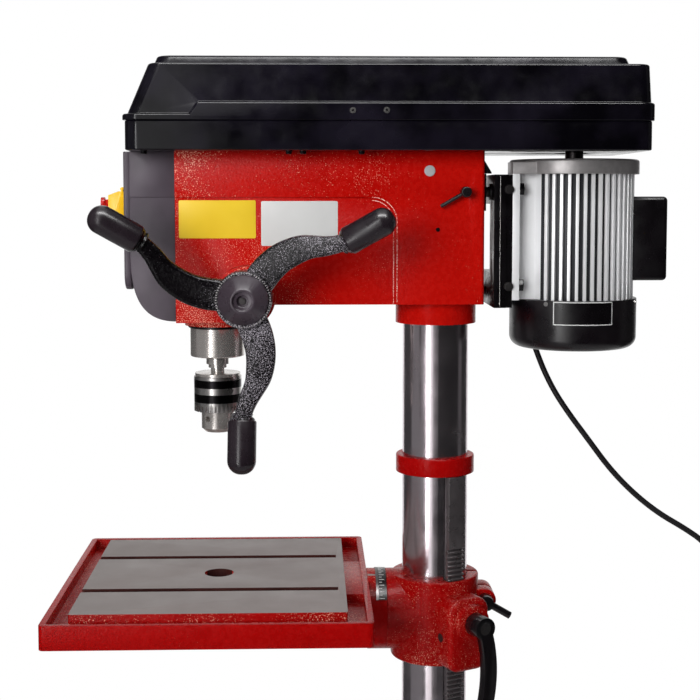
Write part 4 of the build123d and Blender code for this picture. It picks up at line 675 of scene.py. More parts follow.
class Forge:
    """Mesh making: turned, extruded and softened shapes, all in the frame's own place.

    Angles are in degrees. The weld and the level of an edge are in metres.
    """

    crease = 35.0
    cad_crease = 38.0
    round_from = 32.0
    round_steps = 2
    bold_steps = 4
    flat_within = 0.4
    weld = 4e-6
    level = 1e-7
    square = 0.2
    plate_corner_steps = 5
    shell_step = 3.0

    @staticmethod
    def smooth(mesh: bpy.types.Mesh, crease: float) -> None:
        """Shade a mesh smooth, except over edges sharper than the crease."""
        mesh.shade_smooth()
        mesh.set_sharp_from_angle(angle=math.radians(crease))

    @staticmethod
    def from_bmesh(name: str, shape: bmesh.types.BMesh) -> bpy.types.Object:
        """Make an object of a bmesh, smooth except over its creases.

        Args:
            name: Name of the object.
            shape: The mesh; it is freed.

        Returns:
            The linked object.
        """
        mesh = bpy.data.meshes.new(name)
        bmesh.ops.recalc_face_normals(shape, faces=shape.faces)
        shape.to_mesh(mesh)
        shape.free()
        Forge.smooth(mesh, Forge.crease)
        return linked(name, mesh)

    @staticmethod
    def settled(piece: bpy.types.Object) -> None:
        """Turn an object's modifiers into its own mesh.

        Args:
            piece: The object.
        """
        graph = bpy.context.evaluated_depsgraph_get()
        mesh = bpy.data.meshes.new_from_object(piece.evaluated_get(graph))
        piece.modifiers.clear()
        piece.data = mesh

    @staticmethod
    def softened(bench: Bench, node: str, look: CadDress) -> bpy.types.Object:
        """Copy a CAD node with its sharp edges rounded.

        Args:
            bench: The bench that holds the frame.
            node: CAD node to copy.
            look: How its edges are rounded.

        Returns:
            The copy, in the node's own place.
        """
        sharp = math.radians(Forge.round_from)
        shape = bmesh.new()
        shape.from_mesh(bench.frame["nodes"][node].data)
        bmesh.ops.remove_doubles(shape, verts=shape.verts, dist=Forge.weld)
        bmesh.ops.dissolve_limit(shape, angle_limit=math.radians(Forge.flat_within), verts=shape.verts,
                                 edges=shape.edges)
        if look.bold_edge:
            outer = [line for line in shape.edges if len(line.link_faces) == 2
                     and line.calc_face_angle_signed() > sharp
                     and min(end.co.z for end in line.verts) > look.bold_above * MM]
            bmesh.ops.bevel(shape, geom=outer, offset=look.bold_edge * MM, segments=Forge.bold_steps,
                            affect="EDGES", profile=0.5, clamp_overlap=False)
        mesh = bpy.data.meshes.new(node)
        shape.to_mesh(mesh)
        shape.free()
        mesh.materials.clear()
        piece = linked(f"{node}_finished", mesh)
        bevel = piece.modifiers.new("edges", "BEVEL")
        bevel.width = look.edge * MM
        bevel.segments = Forge.round_steps
        bevel.limit_method = "ANGLE"
        bevel.angle_limit = sharp
        bevel.use_clamp_overlap = look.clamp
        Forge.settled(piece)
        Forge.smooth(piece.data, Forge.cad_crease)
        return piece

    @staticmethod
    def turned(name: str, profile: Sequence[Span], foot: Point, axis: Point, sides: int) -> bpy.types.Object:
        """Turned shape about any axis.

        Args:
            name: Name of the object.
            profile: (radius, length along the axis) points in millimetres, closed on the axis by radius 0.
            foot: Point on the axis in millimetres.
            axis: Direction of the axis.
            sides: Number of sides.

        Returns:
            The object.
        """
        shape = bmesh.new()
        aim = Vector(Z_AXIS).rotation_difference(Vector(axis)).to_matrix().to_4x4()
        place = Matrix.Translation(Vector(foot)) @ aim
        rings: List[List[bmesh.types.BMVert]] = []
        for radius, along in profile:
            if radius <= 0:
                rings.append([shape.verts.new(place @ Vector((0.0, 0.0, along)) * MM)])
                continue
            ring = []
            for index in range(sides):
                turn = 2 * math.pi * index / sides
                corner = Vector((radius * math.cos(turn), radius * math.sin(turn), along))
                ring.append(shape.verts.new(place @ corner * MM))
            rings.append(ring)
        for low, high in zip(rings, rings[1:]):
            for index in range(sides):
                follow = (index + 1) % sides
                corners = [low[index % len(low)], low[follow % len(low)],
                           high[follow % len(high)], high[index % len(high)]]
                shape.faces.new(list(dict.fromkeys(corners)))
        return Forge.from_bmesh(name, shape)

    @staticmethod
    def rise(line: bmesh.types.BMEdge, axis: int) -> float:
        """Reach of an edge along one axis."""
        return abs((line.verts[0].co - line.verts[1].co)[axis])

    @staticmethod
    def plate(name: str, low: Point, high: Point, corner: float, edge: float) -> bpy.types.Object:
        """Thin box with rounded edges.

        Args:
            name: Name of the object.
            low: Lowest corner in millimetres.
            high: Highest corner in millimetres.
            corner: Radius of the corners seen along the thinnest way.
            edge: Radius of the remaining edges.

        Returns:
            The object.
        """
        shape = bmesh.new()
        bmesh.ops.create_cube(shape, size=1.0)
        size = Vector(high) - Vector(low)
        middle = (Vector(high) + Vector(low)) / 2
        for vert in shape.verts:
            placed = [(part * reach + shift) * MM for part, reach, shift in zip(vert.co, size, middle)]
            vert.co = Vector(placed)
        thin = min(range(3), key=lambda axis: size[axis])
        short = [line for line in shape.edges if Forge.rise(line, thin) > Forge.level]
        bmesh.ops.bevel(shape, geom=short, offset=corner * MM, segments=Forge.plate_corner_steps,
                        affect="EDGES", profile=0.5)
        rim = [line for line in shape.edges
               if Forge.rise(line, thin) < Forge.level and len(line.link_faces) == 2
               and abs(line.link_faces[0].normal.dot(line.link_faces[1].normal)) < Forge.square]
        bmesh.ops.bevel(shape, geom=rim, offset=edge * MM, segments=Forge.round_steps, affect="EDGES",
                        profile=0.5)
        return Forge.from_bmesh(name, shape)

    @staticmethod
    def shell(name: str, radius: float, thick: float, span: Span, length: Span, foot: Point,
              axes: Tuple[Point, Point, Point]) -> bpy.types.Object:
        """Curved plate: a part of a tube's wall.

        Args:
            name: Name of the object.
            radius: Inner radius in millimetres.
            thick: Thickness.
            span: First and last turn in degrees, from the first axis towards the second.
            length: First and last place along the third axis.
            foot: Point on the tube's axis.
            axes: Directions of the zero turn, of the quarter turn, and along the tube.

        Returns:
            The object.
        """
        shape = bmesh.new()
        steps = max(4, round(abs(span[1] - span[0]) / Forge.shell_step))
        zero, quarter, along = (Vector(axis) for axis in axes)
        rings = []
        for index in range(steps + 1):
            turn = math.radians(span[0] + (span[1] - span[0]) * index / steps)
            out = zero * math.cos(turn) + quarter * math.sin(turn)
            corners = [(radius, length[0]), (radius + thick, length[0]), (radius + thick, length[1]),
                       (radius, length[1])]
            rings.append([shape.verts.new((Vector(foot) + out * away + along * place) * MM)
                          for away, place in corners])
        for low, high in zip(rings, rings[1:]):
            for index in range(4):
                follow = (index + 1) % 4
                shape.faces.new([low[index], low[follow], high[follow], high[index]])
        shape.faces.new(rings[0])
        shape.faces.new(list(reversed(rings[-1])))
        return Forge.from_bmesh(name, shape)

    @staticmethod
    def prism(name: str, outline: Sequence[Span], x0: float, x1: float) -> bpy.types.Object:
        """Flat piece between two places along X.

        Args:
            name: Name of the object.
            outline: (Y, Z) points in millimetres.
            x0: First place.
            x1: Last place.

        Returns:
            The object.
        """
        shape = bmesh.new()
        near = [shape.verts.new(Vector((x0, y, z)) * MM) for y, z in outline]
        far = [shape.verts.new(Vector((x1, y, z)) * MM) for y, z in outline]
        shape.faces.new(near)
        shape.faces.new(list(reversed(far)))
        for index in range(len(outline)):
            follow = (index + 1) % len(outline)
            shape.faces.new([near[index], far[index], far[follow], near[follow]])
        return Forge.from_bmesh(name, shape)

    @staticmethod
    def joined(name: str, pieces: Sequence[bpy.types.Object]) -> bpy.types.Object:
        """Join several new objects into one mesh.

        Args:
            name: Name of the joined object.
            pieces: The objects; they are removed.

        Returns:
            The object.
        """
        shape = bmesh.new()
        for piece in pieces:
            shape.from_mesh(piece.data)
            bpy.data.objects.remove(piece)
        return Forge.from_bmesh(name, shape)


class NodeBoard(NodeSheet):
    """A Geometry Nodes tree under construction."""

    def __init__(self, name: str) -> None:
        """Start a tree with a geometry input and output.

        Args:
            name: Name of the tree.
        """
        super().__init__(bpy.data.node_groups.new(name, "GeometryNodeTree"))
        for side in ("INPUT", "OUTPUT"):
            self.tree.interface.new_socket("Geometry", in_out=side, socket_type="NodeSocketGeometry")
        self.start = self.node("NodeGroupInput")
        self.end = self.node("NodeGroupOutput")
        self.sockets: Dict[str, str] = {}

    def add_input(self, name: str, kind: str) -> None:
        """Add a named input and keep its identifier."""
        item = self.tree.interface.new_socket(name, in_out="INPUT", socket_type=kind)
        self.sockets[name] = item.identifier

    def attribute(self, name: str) -> Socket:
        """A vector attribute of the points.

        Args:
            name: Name of the attribute.

        Returns:
            Its socket.
        """
        made = self.node("GeometryNodeInputNamedAttribute", Name=name)
        made.data_type = "FLOAT_VECTOR"
        return made.outputs["Attribute"]

    def aimed(self, axis: str, **values: Value) -> bpy.types.Node:
        """Node that turns an axis towards a vector.

        Args:
            axis: Letter of the axis.
            **values: The vector, and the rotation to start from if there is one.

        Returns:
            The node.
        """
        made = self.node("FunctionNodeAlignRotationToVector", **values)
        made.axis = axis
        return made

    def close(self, instance: Socket, rotation: Socket, **more: Value) -> None:
        """End the tree: set a shape on each point, realize it and give it its material.

        Args:
            instance: The shape.
            rotation: How it is turned on each point.
            **more: Further inputs of Instance on Points.
        """
        spread = self.node("GeometryNodeInstanceOnPoints", Points=self.start.outputs["Geometry"],
                           Instance=instance, Rotation=rotation, **more)
        solid = self.node("GeometryNodeRealizeInstances", Geometry=spread.outputs[0])
        dressed = self.node("GeometryNodeSetMaterial", Geometry=solid.outputs[0],
                            Material=self.start.outputs["Finish"])
        self.put(self.end.inputs[0], dressed.outputs[0])


@dataclass(frozen=True)
class Fastener:
    """A kind of screw or nut: the size of its head, its finish, and where it belongs.

    Sizes are in millimetres; washer and crown are shares of the head's radius.
    """

    name: str
    shape: Head
    radius: float
    height: float
    finish: str
    slot: str
    washer: float
    crown: float
    body: Body = Body.FRAME


@dataclass(frozen=True)
class Bar:
    """A small bar: its middle, the ways that it faces and runs, and its size in millimetres.

    The size is given along the run, across it and along the facing.
    """

    middle: Point
    facing: Point
    run: Point
    size: Point


class Repeats:
    """Geometry Nodes trees for what repeats: fastener heads and small bars set on points."""

    round_sides = 32
    washer_top = 0.25
    head_top = 0.85
    crease = 30.0

    def __init__(self, bench: Bench) -> None:
        """Build both trees.

        Args:
            bench: The bench.
        """
        self.bench = bench
        self.heads = self.head_tree()
        self.bars = self.bar_tree()

    def head_tree(self) -> NodeBoard:
        """Tree that sets a washer, a head and a crown on each point, along its facing.

        Returns:
            The tree.
        """
        board = NodeBoard("fastener_heads")
        board.add_input("Sides", "NodeSocketInt")
        for name in ("Radius", "Height", "Washer", "Crown"):
            board.add_input(name, "NodeSocketFloat")
        board.add_input("Finish", "NodeSocketMaterial")
        size = board.start.outputs
        stack = board.node("GeometryNodeJoinGeometry")
        for sides, radius, low, high in (
            (self.round_sides, size["Washer"], 0.0, self.washer_top),
            (size["Sides"], size["Radius"], self.washer_top, self.head_top),
            (self.round_sides, size["Crown"], self.head_top, 1.0),
        ):
            tall = board.combine("MULTIPLY", size["Height"], high - low)
            middle = board.combine("MULTIPLY", size["Height"], (high + low) / 2)
            disc = board.node("GeometryNodeMeshCylinder", Vertices=sides, Radius=radius, Depth=tall)
            lift = board.node("ShaderNodeCombineXYZ", Z=middle)
            level = board.node("GeometryNodeTransform", Geometry=disc.outputs["Mesh"],
                               Translation=lift.outputs[0])
            board.put(stack.inputs[0], level.outputs[0])
        aim = board.aimed("Z", Vector=board.attribute("facing"))
        board.close(stack.outputs[0], aim.outputs[0])
        return board

    @staticmethod
    def bar_tree() -> NodeBoard:
        """Tree that sets a bar on each point, turned by its facing and its run, of its own size.

        Returns:
            The tree.
        """
        board = NodeBoard("small_bars")
        board.add_input("Finish", "NodeSocketMaterial")
        cube = board.node("GeometryNodeMeshCube", Size=(1.0, 1.0, 1.0))
        stand = board.aimed("Z", Vector=board.attribute("facing"))
        turn = board.aimed("X", Rotation=stand.outputs[0], Vector=board.attribute("run"))
        turn.pivot_axis = "Z"
        board.close(cube.outputs["Mesh"], turn.outputs[0], Scale=board.attribute("size"))
        return board

    def grow(self, name: str, board: NodeBoard, points: Sequence[Point],
             vectors: Dict[str, Sequence[Point]],
             **inputs: Union[float, int, bpy.types.Material]) -> bpy.types.Object:
        """Run a tree on points and keep the result as a plain mesh.

        Args:
            name: Name of the object.
            board: The tree.
            points: Places in millimetres.
            vectors: Vector attributes of the points, by name.
            **inputs: Values of the tree's named inputs.

        Returns:
            The object.
        """
        mesh = bpy.data.meshes.new(name)
        mesh.from_pydata([Vector(point) * MM for point in points], [], [])
        for key, values in vectors.items():
            layer = mesh.attributes.new(key, "FLOAT_VECTOR", "POINT")
            layer.data.foreach_set("vector", [part for value in values for part in value])
        piece = linked(name, mesh)
        grower = piece.modifiers.new("repeats", "NODES")
        grower.node_group = board.tree
        for key, value in inputs.items():
            grower[board.sockets[key]] = value
        Forge.settled(piece)
        Forge.smooth(piece.data, self.crease)
        return piece

    def fasteners(self, kind: Fastener, places: Sequence[Tuple[Point, Point]]) -> None:
        """Add the heads of screws or nuts.

        Args:
            kind: What they look like and where they belong.
            places: Foot of each head in millimetres and the way that it faces.
        """
        radius = kind.radius * MM
        piece = self.grow(kind.name, self.heads, [foot for foot, _ in places],
                          {"facing": [way for _, way in places]}, Sides=kind.shape.value, Radius=radius,
                          Height=kind.height * MM, Washer=radius * kind.washer, Crown=radius * kind.crown,
                          Finish=self.bench.paint[kind.finish])
        self.bench.place(piece, kind.body, "", kind.slot)

    def row_of_bars(self, name: str, bars: Sequence[Bar], body: Body, finish: str, slot: str) -> None:
        """Add small bars such as ticks and beads.

        Args:
            name: Name of the object.
            bars: The bars.
            body: Body that they ride on.
            finish: Name of the finish.
            slot: Material slot in the record.
        """
        vectors = {
            "facing": [bar.facing for bar in bars],
            "run": [bar.run for bar in bars],
            "size": [tuple(part * MM for part in bar.size) for bar in bars],
        }
        piece = self.grow(name, self.bars, [bar.middle for bar in bars], vectors,
                          Finish=self.bench.paint[finish])
        self.bench.place(piece, body, "", slot)


class Machine:
    """Every CAD node with its finish; those with an edge are shown as softened copies."""

    nodes: Dict[str, CadDress] = {
        "base": CadDress("red_enamel", 1.6),
        "column_flange": CadDress("red_enamel", 1.4),
        "flange_bolts": CadDress("dark_steel", 0.7),
        "column": CadDress("column_steel"),
        "head_casting": CadDress("head_enamel", 2.2),
        "front_cover": CadDress("satin_black", 2.0),
        "switch_plate": CadDress("satin_black", 1.6),
        "switch_body": CadDress("satin_black", 0.8),
        "switch_flap": CadDress("yellow_moulding", 1.2),
        "emergency_button": CadDress("red_moulding", 1.0),
        "start_button": CadDress("green_moulding", 0.6),
        "stop_button": CadDress("red_moulding", 0.6),
        "belt_tray": CadDress("cover_black", 2.0, clamp=False),
        "belt_lid": CadDress("cover_black", 1.0, 2.8, 1566.0, False),
        "lid_hinge_pins": CadDress("bright_steel"),
        "spindle_pulley": CadDress("cast_aluminium", 0.6),
        "idler_shaft": CadDress("bright_steel", 0.5),
        "idler_pulley": CadDress("cast_aluminium", 0.6),
        "pulley_bearings": CadDress("bright_steel"),
        "spindle_belt": CadDress("belt_rubber"),
        "motor_belt": CadDress("belt_rubber"),
        "quill": CadDress("turned_steel", 0.6),
        "quill_bearings": CadDress("bright_steel"),
        "spindle": CadDress("turned_steel"),
        "chuck_arbor": CadDress("turned_steel"),
        "chuck_body": CadDress("turned_steel", 0.5),
        "chuck_sleeve": CadDress("sleeve_steel", 0.4),
        "chuck_jaw_1": CadDress("bright_steel"),
        "chuck_jaw_2": CadDress("bright_steel"),
        "chuck_jaw_3": CadDress("bright_steel"),
        "feed_shaft": CadDress("turned_steel_x"),
        "feed_spider": CadDress("crackle_black", 1.0),
        "feed_grips": CadDress("grip_black", 1.0),
        "hub_cap": CadDress("cap_black", 0.8),
        "spring_housing": CadDress("satin_black", 0.8),
        "return_spring": CadDress("blued_steel"),
        "slide_bars": CadDress("dark_steel", 0.8),
        "motor_plate": CadDress("plate_black", 1.0),
        "motor_housing": CadDress("finned_aluminium", 0.8),
        "motor_bolts": CadDress("plate_black", 0.5),
        "motor_stator": CadDress("dark_steel"),
        "motor_rotor": CadDress("dark_steel"),
        "motor_pulley": CadDress("cast_aluminium", 0.6),
        "motor_top_shield": CadDress("shield_grey", 0.8),
        "motor_bottom_cover": CadDress("gloss_black", 0.8),
        "capacitor_box": CadDress("plate_black", 0.8),
        "belt_lock_lever": CadDress("gloss_black", 0.6),
        "rack_ring": CadDress("red_enamel", 0.8),
        "rack": CadDress("rack_steel", 0.5),
        "table_bracket": CadDress("speckled_enamel", 1.6),
        "lift_pinion": CadDress("dark_steel"),
        "crank_shaft": CadDress("dark_steel"),
        "crank_arm": CadDress("gloss_black", 1.4),
        "crank_grip": CadDress("grip_black"),
        "table_lock_lever": CadDress("gloss_black", 0.8),
        "table": CadDress("red_enamel", 1.4),
        "tilt_bolt": CadDress("bright_steel", 0.6),
        "cord_gland": CadDress("satin_black", 0.5),
        "power_plug": CadDress("satin_black", 0.8),
    }

    def __init__(self, bench: Bench) -> None:
        """Keep the bench."""
        self.bench = bench

    def dress(self) -> Dict[str, bpy.types.Object]:
        """Finish every node.

        Returns:
            The object that shows each node.
        """
        shown: Dict[str, bpy.types.Object] = {}
        for node, look in self.nodes.items():
            if look.edge:
                piece = Forge.softened(self.bench, node, look)
                shown[node] = self.bench.place(piece, self.bench.body_of(node), look.finish,
                                               self.bench.slot_of(node), (node,))
                continue
            shown[node] = self.bench.frame["nodes"][node]
            shown[node].data.materials.clear()
            shown[node].data.materials.append(self.bench.paint[look.finish])
            LOG.info("finished %s", node)
        return shown


@dataclass
class WorkTable:
    """Faces of the table: ground top, slots and hole darkened with dirt and painted shade, and speckled paint
    below the rim.
    """

    platform_top: float = 943.0
    platform_front: float = -477.0
    platform_rear: float = -126.0
    platform_half_width: float = 182.0
    slot_floor: float = 920.0
    rim_inside: float = 205.0
    margin: float = 3.0
    tolerance: float = 0.4
    flat: float = 0.9
    overhang: float = -0.5
    finishes: Tuple[str, ...] = ("ground_iron", "slot_dirt_and_shade", "speckled_enamel")

    def dress(self, bench: Bench, piece: bpy.types.Object) -> None:
        """Give each face of the table's upper part its finish.

        Args:
            bench: The bench.
            piece: The table's finished copy.
        """
        slots = {}
        for finish in self.finishes:
            slots[finish] = len(piece.data.materials)
            piece.data.materials.append(bench.paint[finish])
        for face in piece.data.polygons:
            corners = [piece.data.vertices[index].co / MM for index in face.vertices]
            wide = max(abs(corner.x) for corner in corners)
            front = min(corner.y for corner in corners)
            rear = max(corner.y for corner in corners)
            level = face.center.z / MM
            inside = (
                wide < self.platform_half_width - self.margin
                and front > self.platform_front - self.margin
                and rear < self.platform_rear + self.margin
                and abs(face.normal.y) < self.flat
            )
            if face.normal.z > self.flat and abs(level - self.platform_top) < self.tolerance:
                face.material_index = slots["ground_iron"]
            # Slot and hole faces get the dark finish: dirt and painted shade in the recesses.
            elif inside and level > self.slot_floor:
                face.material_index = slots["slot_dirt_and_shade"]
            elif level > self.slot_floor and face.normal.z > self.overhang and wide < self.rim_inside:
                face.material_index = slots["speckled_enamel"]


@dataclass
class FeedHandle:
    """Trim of the feed handle: beads round the hub with painted highlights, collars behind the grips and the
    cap's screw.
    """

    bench: Bench
    repeats: Repeats
    axis_y: float = -256.5
    axis_z: float = 1336.0
    arm_foot_x: float = 141.3
    arm_foot_radius: float = -1.5
    arm_lean: float = 13.0
    arm_end: float = 155.0
    arm_turns: Tuple[float, ...] = (-90.5, 29.5, 149.5)
    hub_face: float = 166.0
    bead_circle: float = 34.0
    bead_count: int = 66
    bead_sink: float = 0.9
    bead_size: Point = (1.9, 1.0, 2.0)
    screw: Fastener = Fastener(
        "hub_screw", Head.ROUND, radius=3.6, height=4.0, washer=1.2, crown=0.55,
        finish="dark_steel", slot="bright_steel", body=Body.FEED,
    )
    screw_seat: float = 178.0
    collar_sides: int = 40
    collar_profile: Tuple[Span, ...] = (
        (0.0, -9.0), (12.4, -9.0), (13.6, -7.5), (12.6, -5.5), (12.6, -4.5),
        (15.0, -3.0), (16.2, -0.6), (15.4, 0.0), (0.0, 0.0),
    )

    def build(self) -> None:
        """Add the trim."""
        self.beads()
        self.repeats.fasteners(self.screw, [((self.screw_seat, self.axis_y, self.axis_z), X_AXIS)])
        self.collars()

    def beads(self) -> None:
        """Ring of small beads round the hub's face, bright grey where the black serrations catch light: a
        painted highlight.
        """
        bars = []
        for index in range(self.bead_count):
            turn = 2 * math.pi * index / self.bead_count
            way = (0.0, math.cos(turn), math.sin(turn))
            middle = (self.hub_face - self.bead_sink, self.axis_y + self.bead_circle * way[1],
                      self.axis_z + self.bead_circle * way[2])
            bars.append(Bar(middle, X_AXIS, way, self.bead_size))
        # The beads are real serrations; their bright grey finish is a painted highlight on black paint.
        self.repeats.row_of_bars("hub_beads", bars, Body.FEED, "shield_grey", "black_paint")

    def collars(self) -> None:
        """Turned collar at the end of each leaning arm; its profile is measured back from that end."""
        profile = [(radius, self.arm_end + back) for radius, back in self.collar_profile]
        lean = math.radians(self.arm_lean)
        collars = []
        for turn in self.arm_turns:
            across = math.cos(math.radians(turn))
            up = math.sin(math.radians(turn))
            foot = (self.arm_foot_x, self.axis_y + self.arm_foot_radius * across,
                    self.axis_z + self.arm_foot_radius * up)
            way = (math.sin(lean), math.cos(lean) * across, math.cos(lean) * up)
            collars.append(Forge.turned("collar", profile, foot, way, self.collar_sides))
        self.bench.place(Forge.joined("arm_collars", collars), Body.FEED, "crackle_black", "black_paint")


@dataclass
class TiltScale:
    """Scale on the table's tilt hub with its ticks."""

    bench: Bench
    repeats: Repeats
    axis_z: float = 891.0
    hub_radius: float = 55.0
    joint_y: float = -68.3
    joint_gap: float = 0.7
    sink: float = 0.2
    width: float = 11.0
    thickness: float = 0.9
    edge_width: float = 3.4
    edge_thickness: float = 1.1
    span: Span = (-40.0, 62.0)
    step: float = 5.0
    tick_lengths: Span = (7.0, 4.0)
    tick_width: float = 0.9
    tick_height: float = 0.3
    tick_rise: float = 0.8
    tick_inset: float = 1.0

    def build(self) -> None:
        """Add the scale to the table's hub."""
        rear = self.joint_y - self.joint_gap
        front = rear - self.width
        self.band("tilt_scale", self.thickness, (front, rear), "plate_black", "black_paint")
        self.band("tilt_scale_edge", self.edge_thickness, (front - self.edge_width, front), "dark_steel",
                  "dark_steel")
        self.ticks(front)

    def band(self, name: str, thickness: float, place: Span, finish: str, slot: str) -> None:
        """Band round a part of the hub.

        Args:
            name: Name of the piece.
            thickness: Thickness in millimetres.
            place: First and last place along Y.
            finish: Name of its finish.
            slot: Material slot in the record.
        """
        piece = Forge.shell(name, self.hub_radius - self.sink, thickness, self.span, place,
                            (0.0, 0.0, self.axis_z), (Z_AXIS, X_AXIS, Y_AXIS))
        self.bench.place(piece, Body.TABLE, finish, slot)

    def ticks(self, front: float) -> None:
        """Long and short ticks in turn.

        Args:
            front: Place of the scale's front edge along Y.
        """
        count = int((self.span[1] - self.span[0]) / self.step)
        radius = self.hub_radius + self.tick_rise
        bars = []
        for index in range(count + 1):
            turn = math.radians(self.span[0] + index * self.step)
            out = (math.sin(turn), 0.0, math.cos(turn))
            length = self.tick_lengths[index % 2]
            middle = (out[0] * radius, front + self.tick_inset + length / 2, self.axis_z + out[2] * radius)
            bars.append(Bar(middle, out, Y_AXIS, (length, self.tick_width, self.tick_height)))
        self.repeats.row_of_bars("tilt_ticks", bars, Body.TABLE, "label_white", "cast_aluminium")


@dataclass(frozen=True)
class BlankPlate:
    """A blank plate on the head's side panel, by its reach along Y and Z."""

    name: str
    reach_y: Span
    reach_z: Span
    finish: str
    slot: str


@dataclass
class HeadTrim:
    """Painted highlight lines, blank plates, screws, rear bracket and seals on the head and the belt cover.
    """

    bench: Bench
    repeats: Repeats
    sink: float = 0.2
    panel_x: float = 66.0
    side_x: float = 70.0
    panel_rear: float = -58.0
    panel_top: float = 1464.0
    panel_corner: float = 33.0
    head_bottom: float = 1322.0
    line_width: float = 1.0
    line_rise: float = 0.15
    line_end: float = 2.0
    side_line_inset: float = -0.6
    panel_line_inset: float = 3.8
    arc_steps: int = 12
    plates: Tuple[BlankPlate, ...] = (
        BlankPlate("pale_plate", (-237.0, -136.0), (1400.0, 1459.0), "label_white", "cast_aluminium"),
        BlankPlate("yellow_plate", (-345.0, -244.0), (1410.0, 1460.0), "label_yellow", "yellow_plastic"),
    )
    plate_thickness: float = 0.6
    plate_corner: float = 2.0
    plate_edge: float = 0.2
    head_screw: Fastener = Fastener(
        "head_screw", Head.ROUND, radius=6.6, height=3.0, washer=1.1, crown=0.7,
        finish="zinc_plate", slot="bright_steel",
    )
    head_screw_place: Span = (-15.0, 1498.6)
    grub_screw: Fastener = Fastener(
        "head_grub_screw", Head.ROUND, radius=2.8, height=0.5, washer=1.0, crown=0.6,
        finish="plate_black", slot="dark_steel",
    )
    grub_screw_place: Span = (-4.0, 1421.4)
    lid_screw: Fastener = Fastener(
        "lid_screws", Head.ROUND, radius=3.0, height=1.8, washer=1.35, crown=0.7,
        finish="bright_steel", slot="dark_steel", body=Body.LID,
    )
    # Dark hexes on the lid screws stand for their sockets: painted shade of the recess, not a cut.
    lid_recess_shade: Fastener = Fastener(
        "lid_screw_recess_shades", Head.HEXAGON, radius=1.7, height=1.0, washer=1.0, crown=0.6,
        finish="plate_black", slot="dark_steel", body=Body.LID,
    )
    lid_screw_places: Tuple[Span, ...] = ((-118.0, 1574.0), (-75.0, 1574.5))
    lid_x: float = 125.0
    recess_lift: float = 1.0
    tray_screw: Fastener = Fastener(
        "tray_screws", Head.HEXAGON, radius=4.5, height=4.5, washer=1.1, crown=0.8,
        finish="plate_black", slot="dark_steel",
    )
    tray_screw_places: Tuple[float, ...] = (-385.6, -199.7, -181.4, -106.0)
    tray_screw_x: float = 100.0
    tray_z: float = 1524.0
    rear_y: float = 58.0
    strip_x: Span = (56.0, 64.0)
    strip_z: Span = (1446.0, 1495.0)
    strip_thickness: float = 2.4
    strip_corner: float = 0.5
    strip_edge: float = 0.3
    gusset_x: Span = (58.0, 63.0)
    gusset_bottom: float = 1495.2
    gusset_tip: float = 1497.0
    gusset_top: float = 1513.0
    gusset_depth: float = 9.5
    bar_place: Span = (30.0, 1471.0)
    bar_guard: Tuple[Span, ...] = (
        (11.9, 0.0), (14.0, 0.0), (14.6, 0.6), (14.6, 2.4), (14.0, 3.0), (11.9, 3.0), (11.9, 0.0),
    )
    bar_guard_sides: int = 40
    spindle_y: float = -300.0
    boss_z: float = 1290.0
    quill_seal: Tuple[Span, ...] = (
        (33.0, 0.0), (39.0, 0.0), (39.6, -0.6), (39.6, -2.8), (39.0, -3.4), (33.0, -3.4), (33.0, 0.0),
    )
    quill_seal_sides: int = 96

    def build(self) -> None:
        """Add everything."""
        self.panel_highlight_lines()
        self.blank_plates()
        self.screws()
        self.rear_bracket()
        self.seals()

    def panel_highlight_line(self, inset: float, x: float) -> bpy.types.Object:
        """Narrow line of painted highlight along the round corner and the rear edge of the side panel.

        Args:
            inset: Distance of the line from the panel's edge, in millimetres.
            x: Face that the line lies on.

        Returns:
            The object.
        """
        middle_y = self.panel_rear - self.panel_corner
        middle_z = self.panel_top - self.panel_corner
        turns = [math.pi / 2 * (1 - step / self.arc_steps) for step in range(self.arc_steps + 1)]
        edges = []
        for radius in (self.panel_corner - inset, self.panel_corner - inset - self.line_width):
            arc = [(middle_y + radius * math.cos(turn), middle_z + radius * math.sin(turn)) for turn in turns]
            edges.append(arc + [(middle_y + radius, self.head_bottom + self.line_end)])
        return Forge.prism("panel_highlight_line", edges[0] + edges[1][::-1], x - self.sink, x + self.line_rise)

    def panel_highlight_lines(self) -> None:
        """Painted highlight lines along both edges of the step round the side panel, standing for the light
        that its rounded edges catch.
        """
        lines = [self.panel_highlight_line(self.side_line_inset, self.side_x),
                 self.panel_highlight_line(self.panel_line_inset, self.panel_x)]
        self.bench.place(Forge.joined("panel_highlight_lines", lines), Body.FRAME, "edge_highlight_enamel",
                         self.bench.slot_of("head_casting"))

    def blank_plates(self) -> None:
        """Blank plates on the side panel."""
        for plate in self.plates:
            low = (self.panel_x - self.sink, plate.reach_y[0], plate.reach_z[0])
            high = (self.panel_x + self.plate_thickness, plate.reach_y[1], plate.reach_z[1])
            piece = Forge.plate(plate.name, low, high, self.plate_corner, self.plate_edge)
            self.bench.place(piece, Body.FRAME, plate.finish, plate.slot)

    def screws(self) -> None:
        """Screws of the head's side, the lid's rim and the tray."""
        down = (0.0, 0.0, -1.0)
        self.repeats.fasteners(self.head_screw, [((self.side_x, *self.head_screw_place), X_AXIS)])
        self.repeats.fasteners(self.grub_screw,
                               [((self.side_x - self.sink, *self.grub_screw_place), X_AXIS)])
        for kind, x in ((self.lid_screw, self.lid_x), (self.lid_recess_shade, self.lid_x + self.recess_lift)):
            self.repeats.fasteners(kind, [((x, *place), X_AXIS) for place in self.lid_screw_places])
        self.repeats.fasteners(self.tray_screw, [((self.tray_screw_x, y, self.tray_z), down)
                                                 for y in self.tray_screw_places])

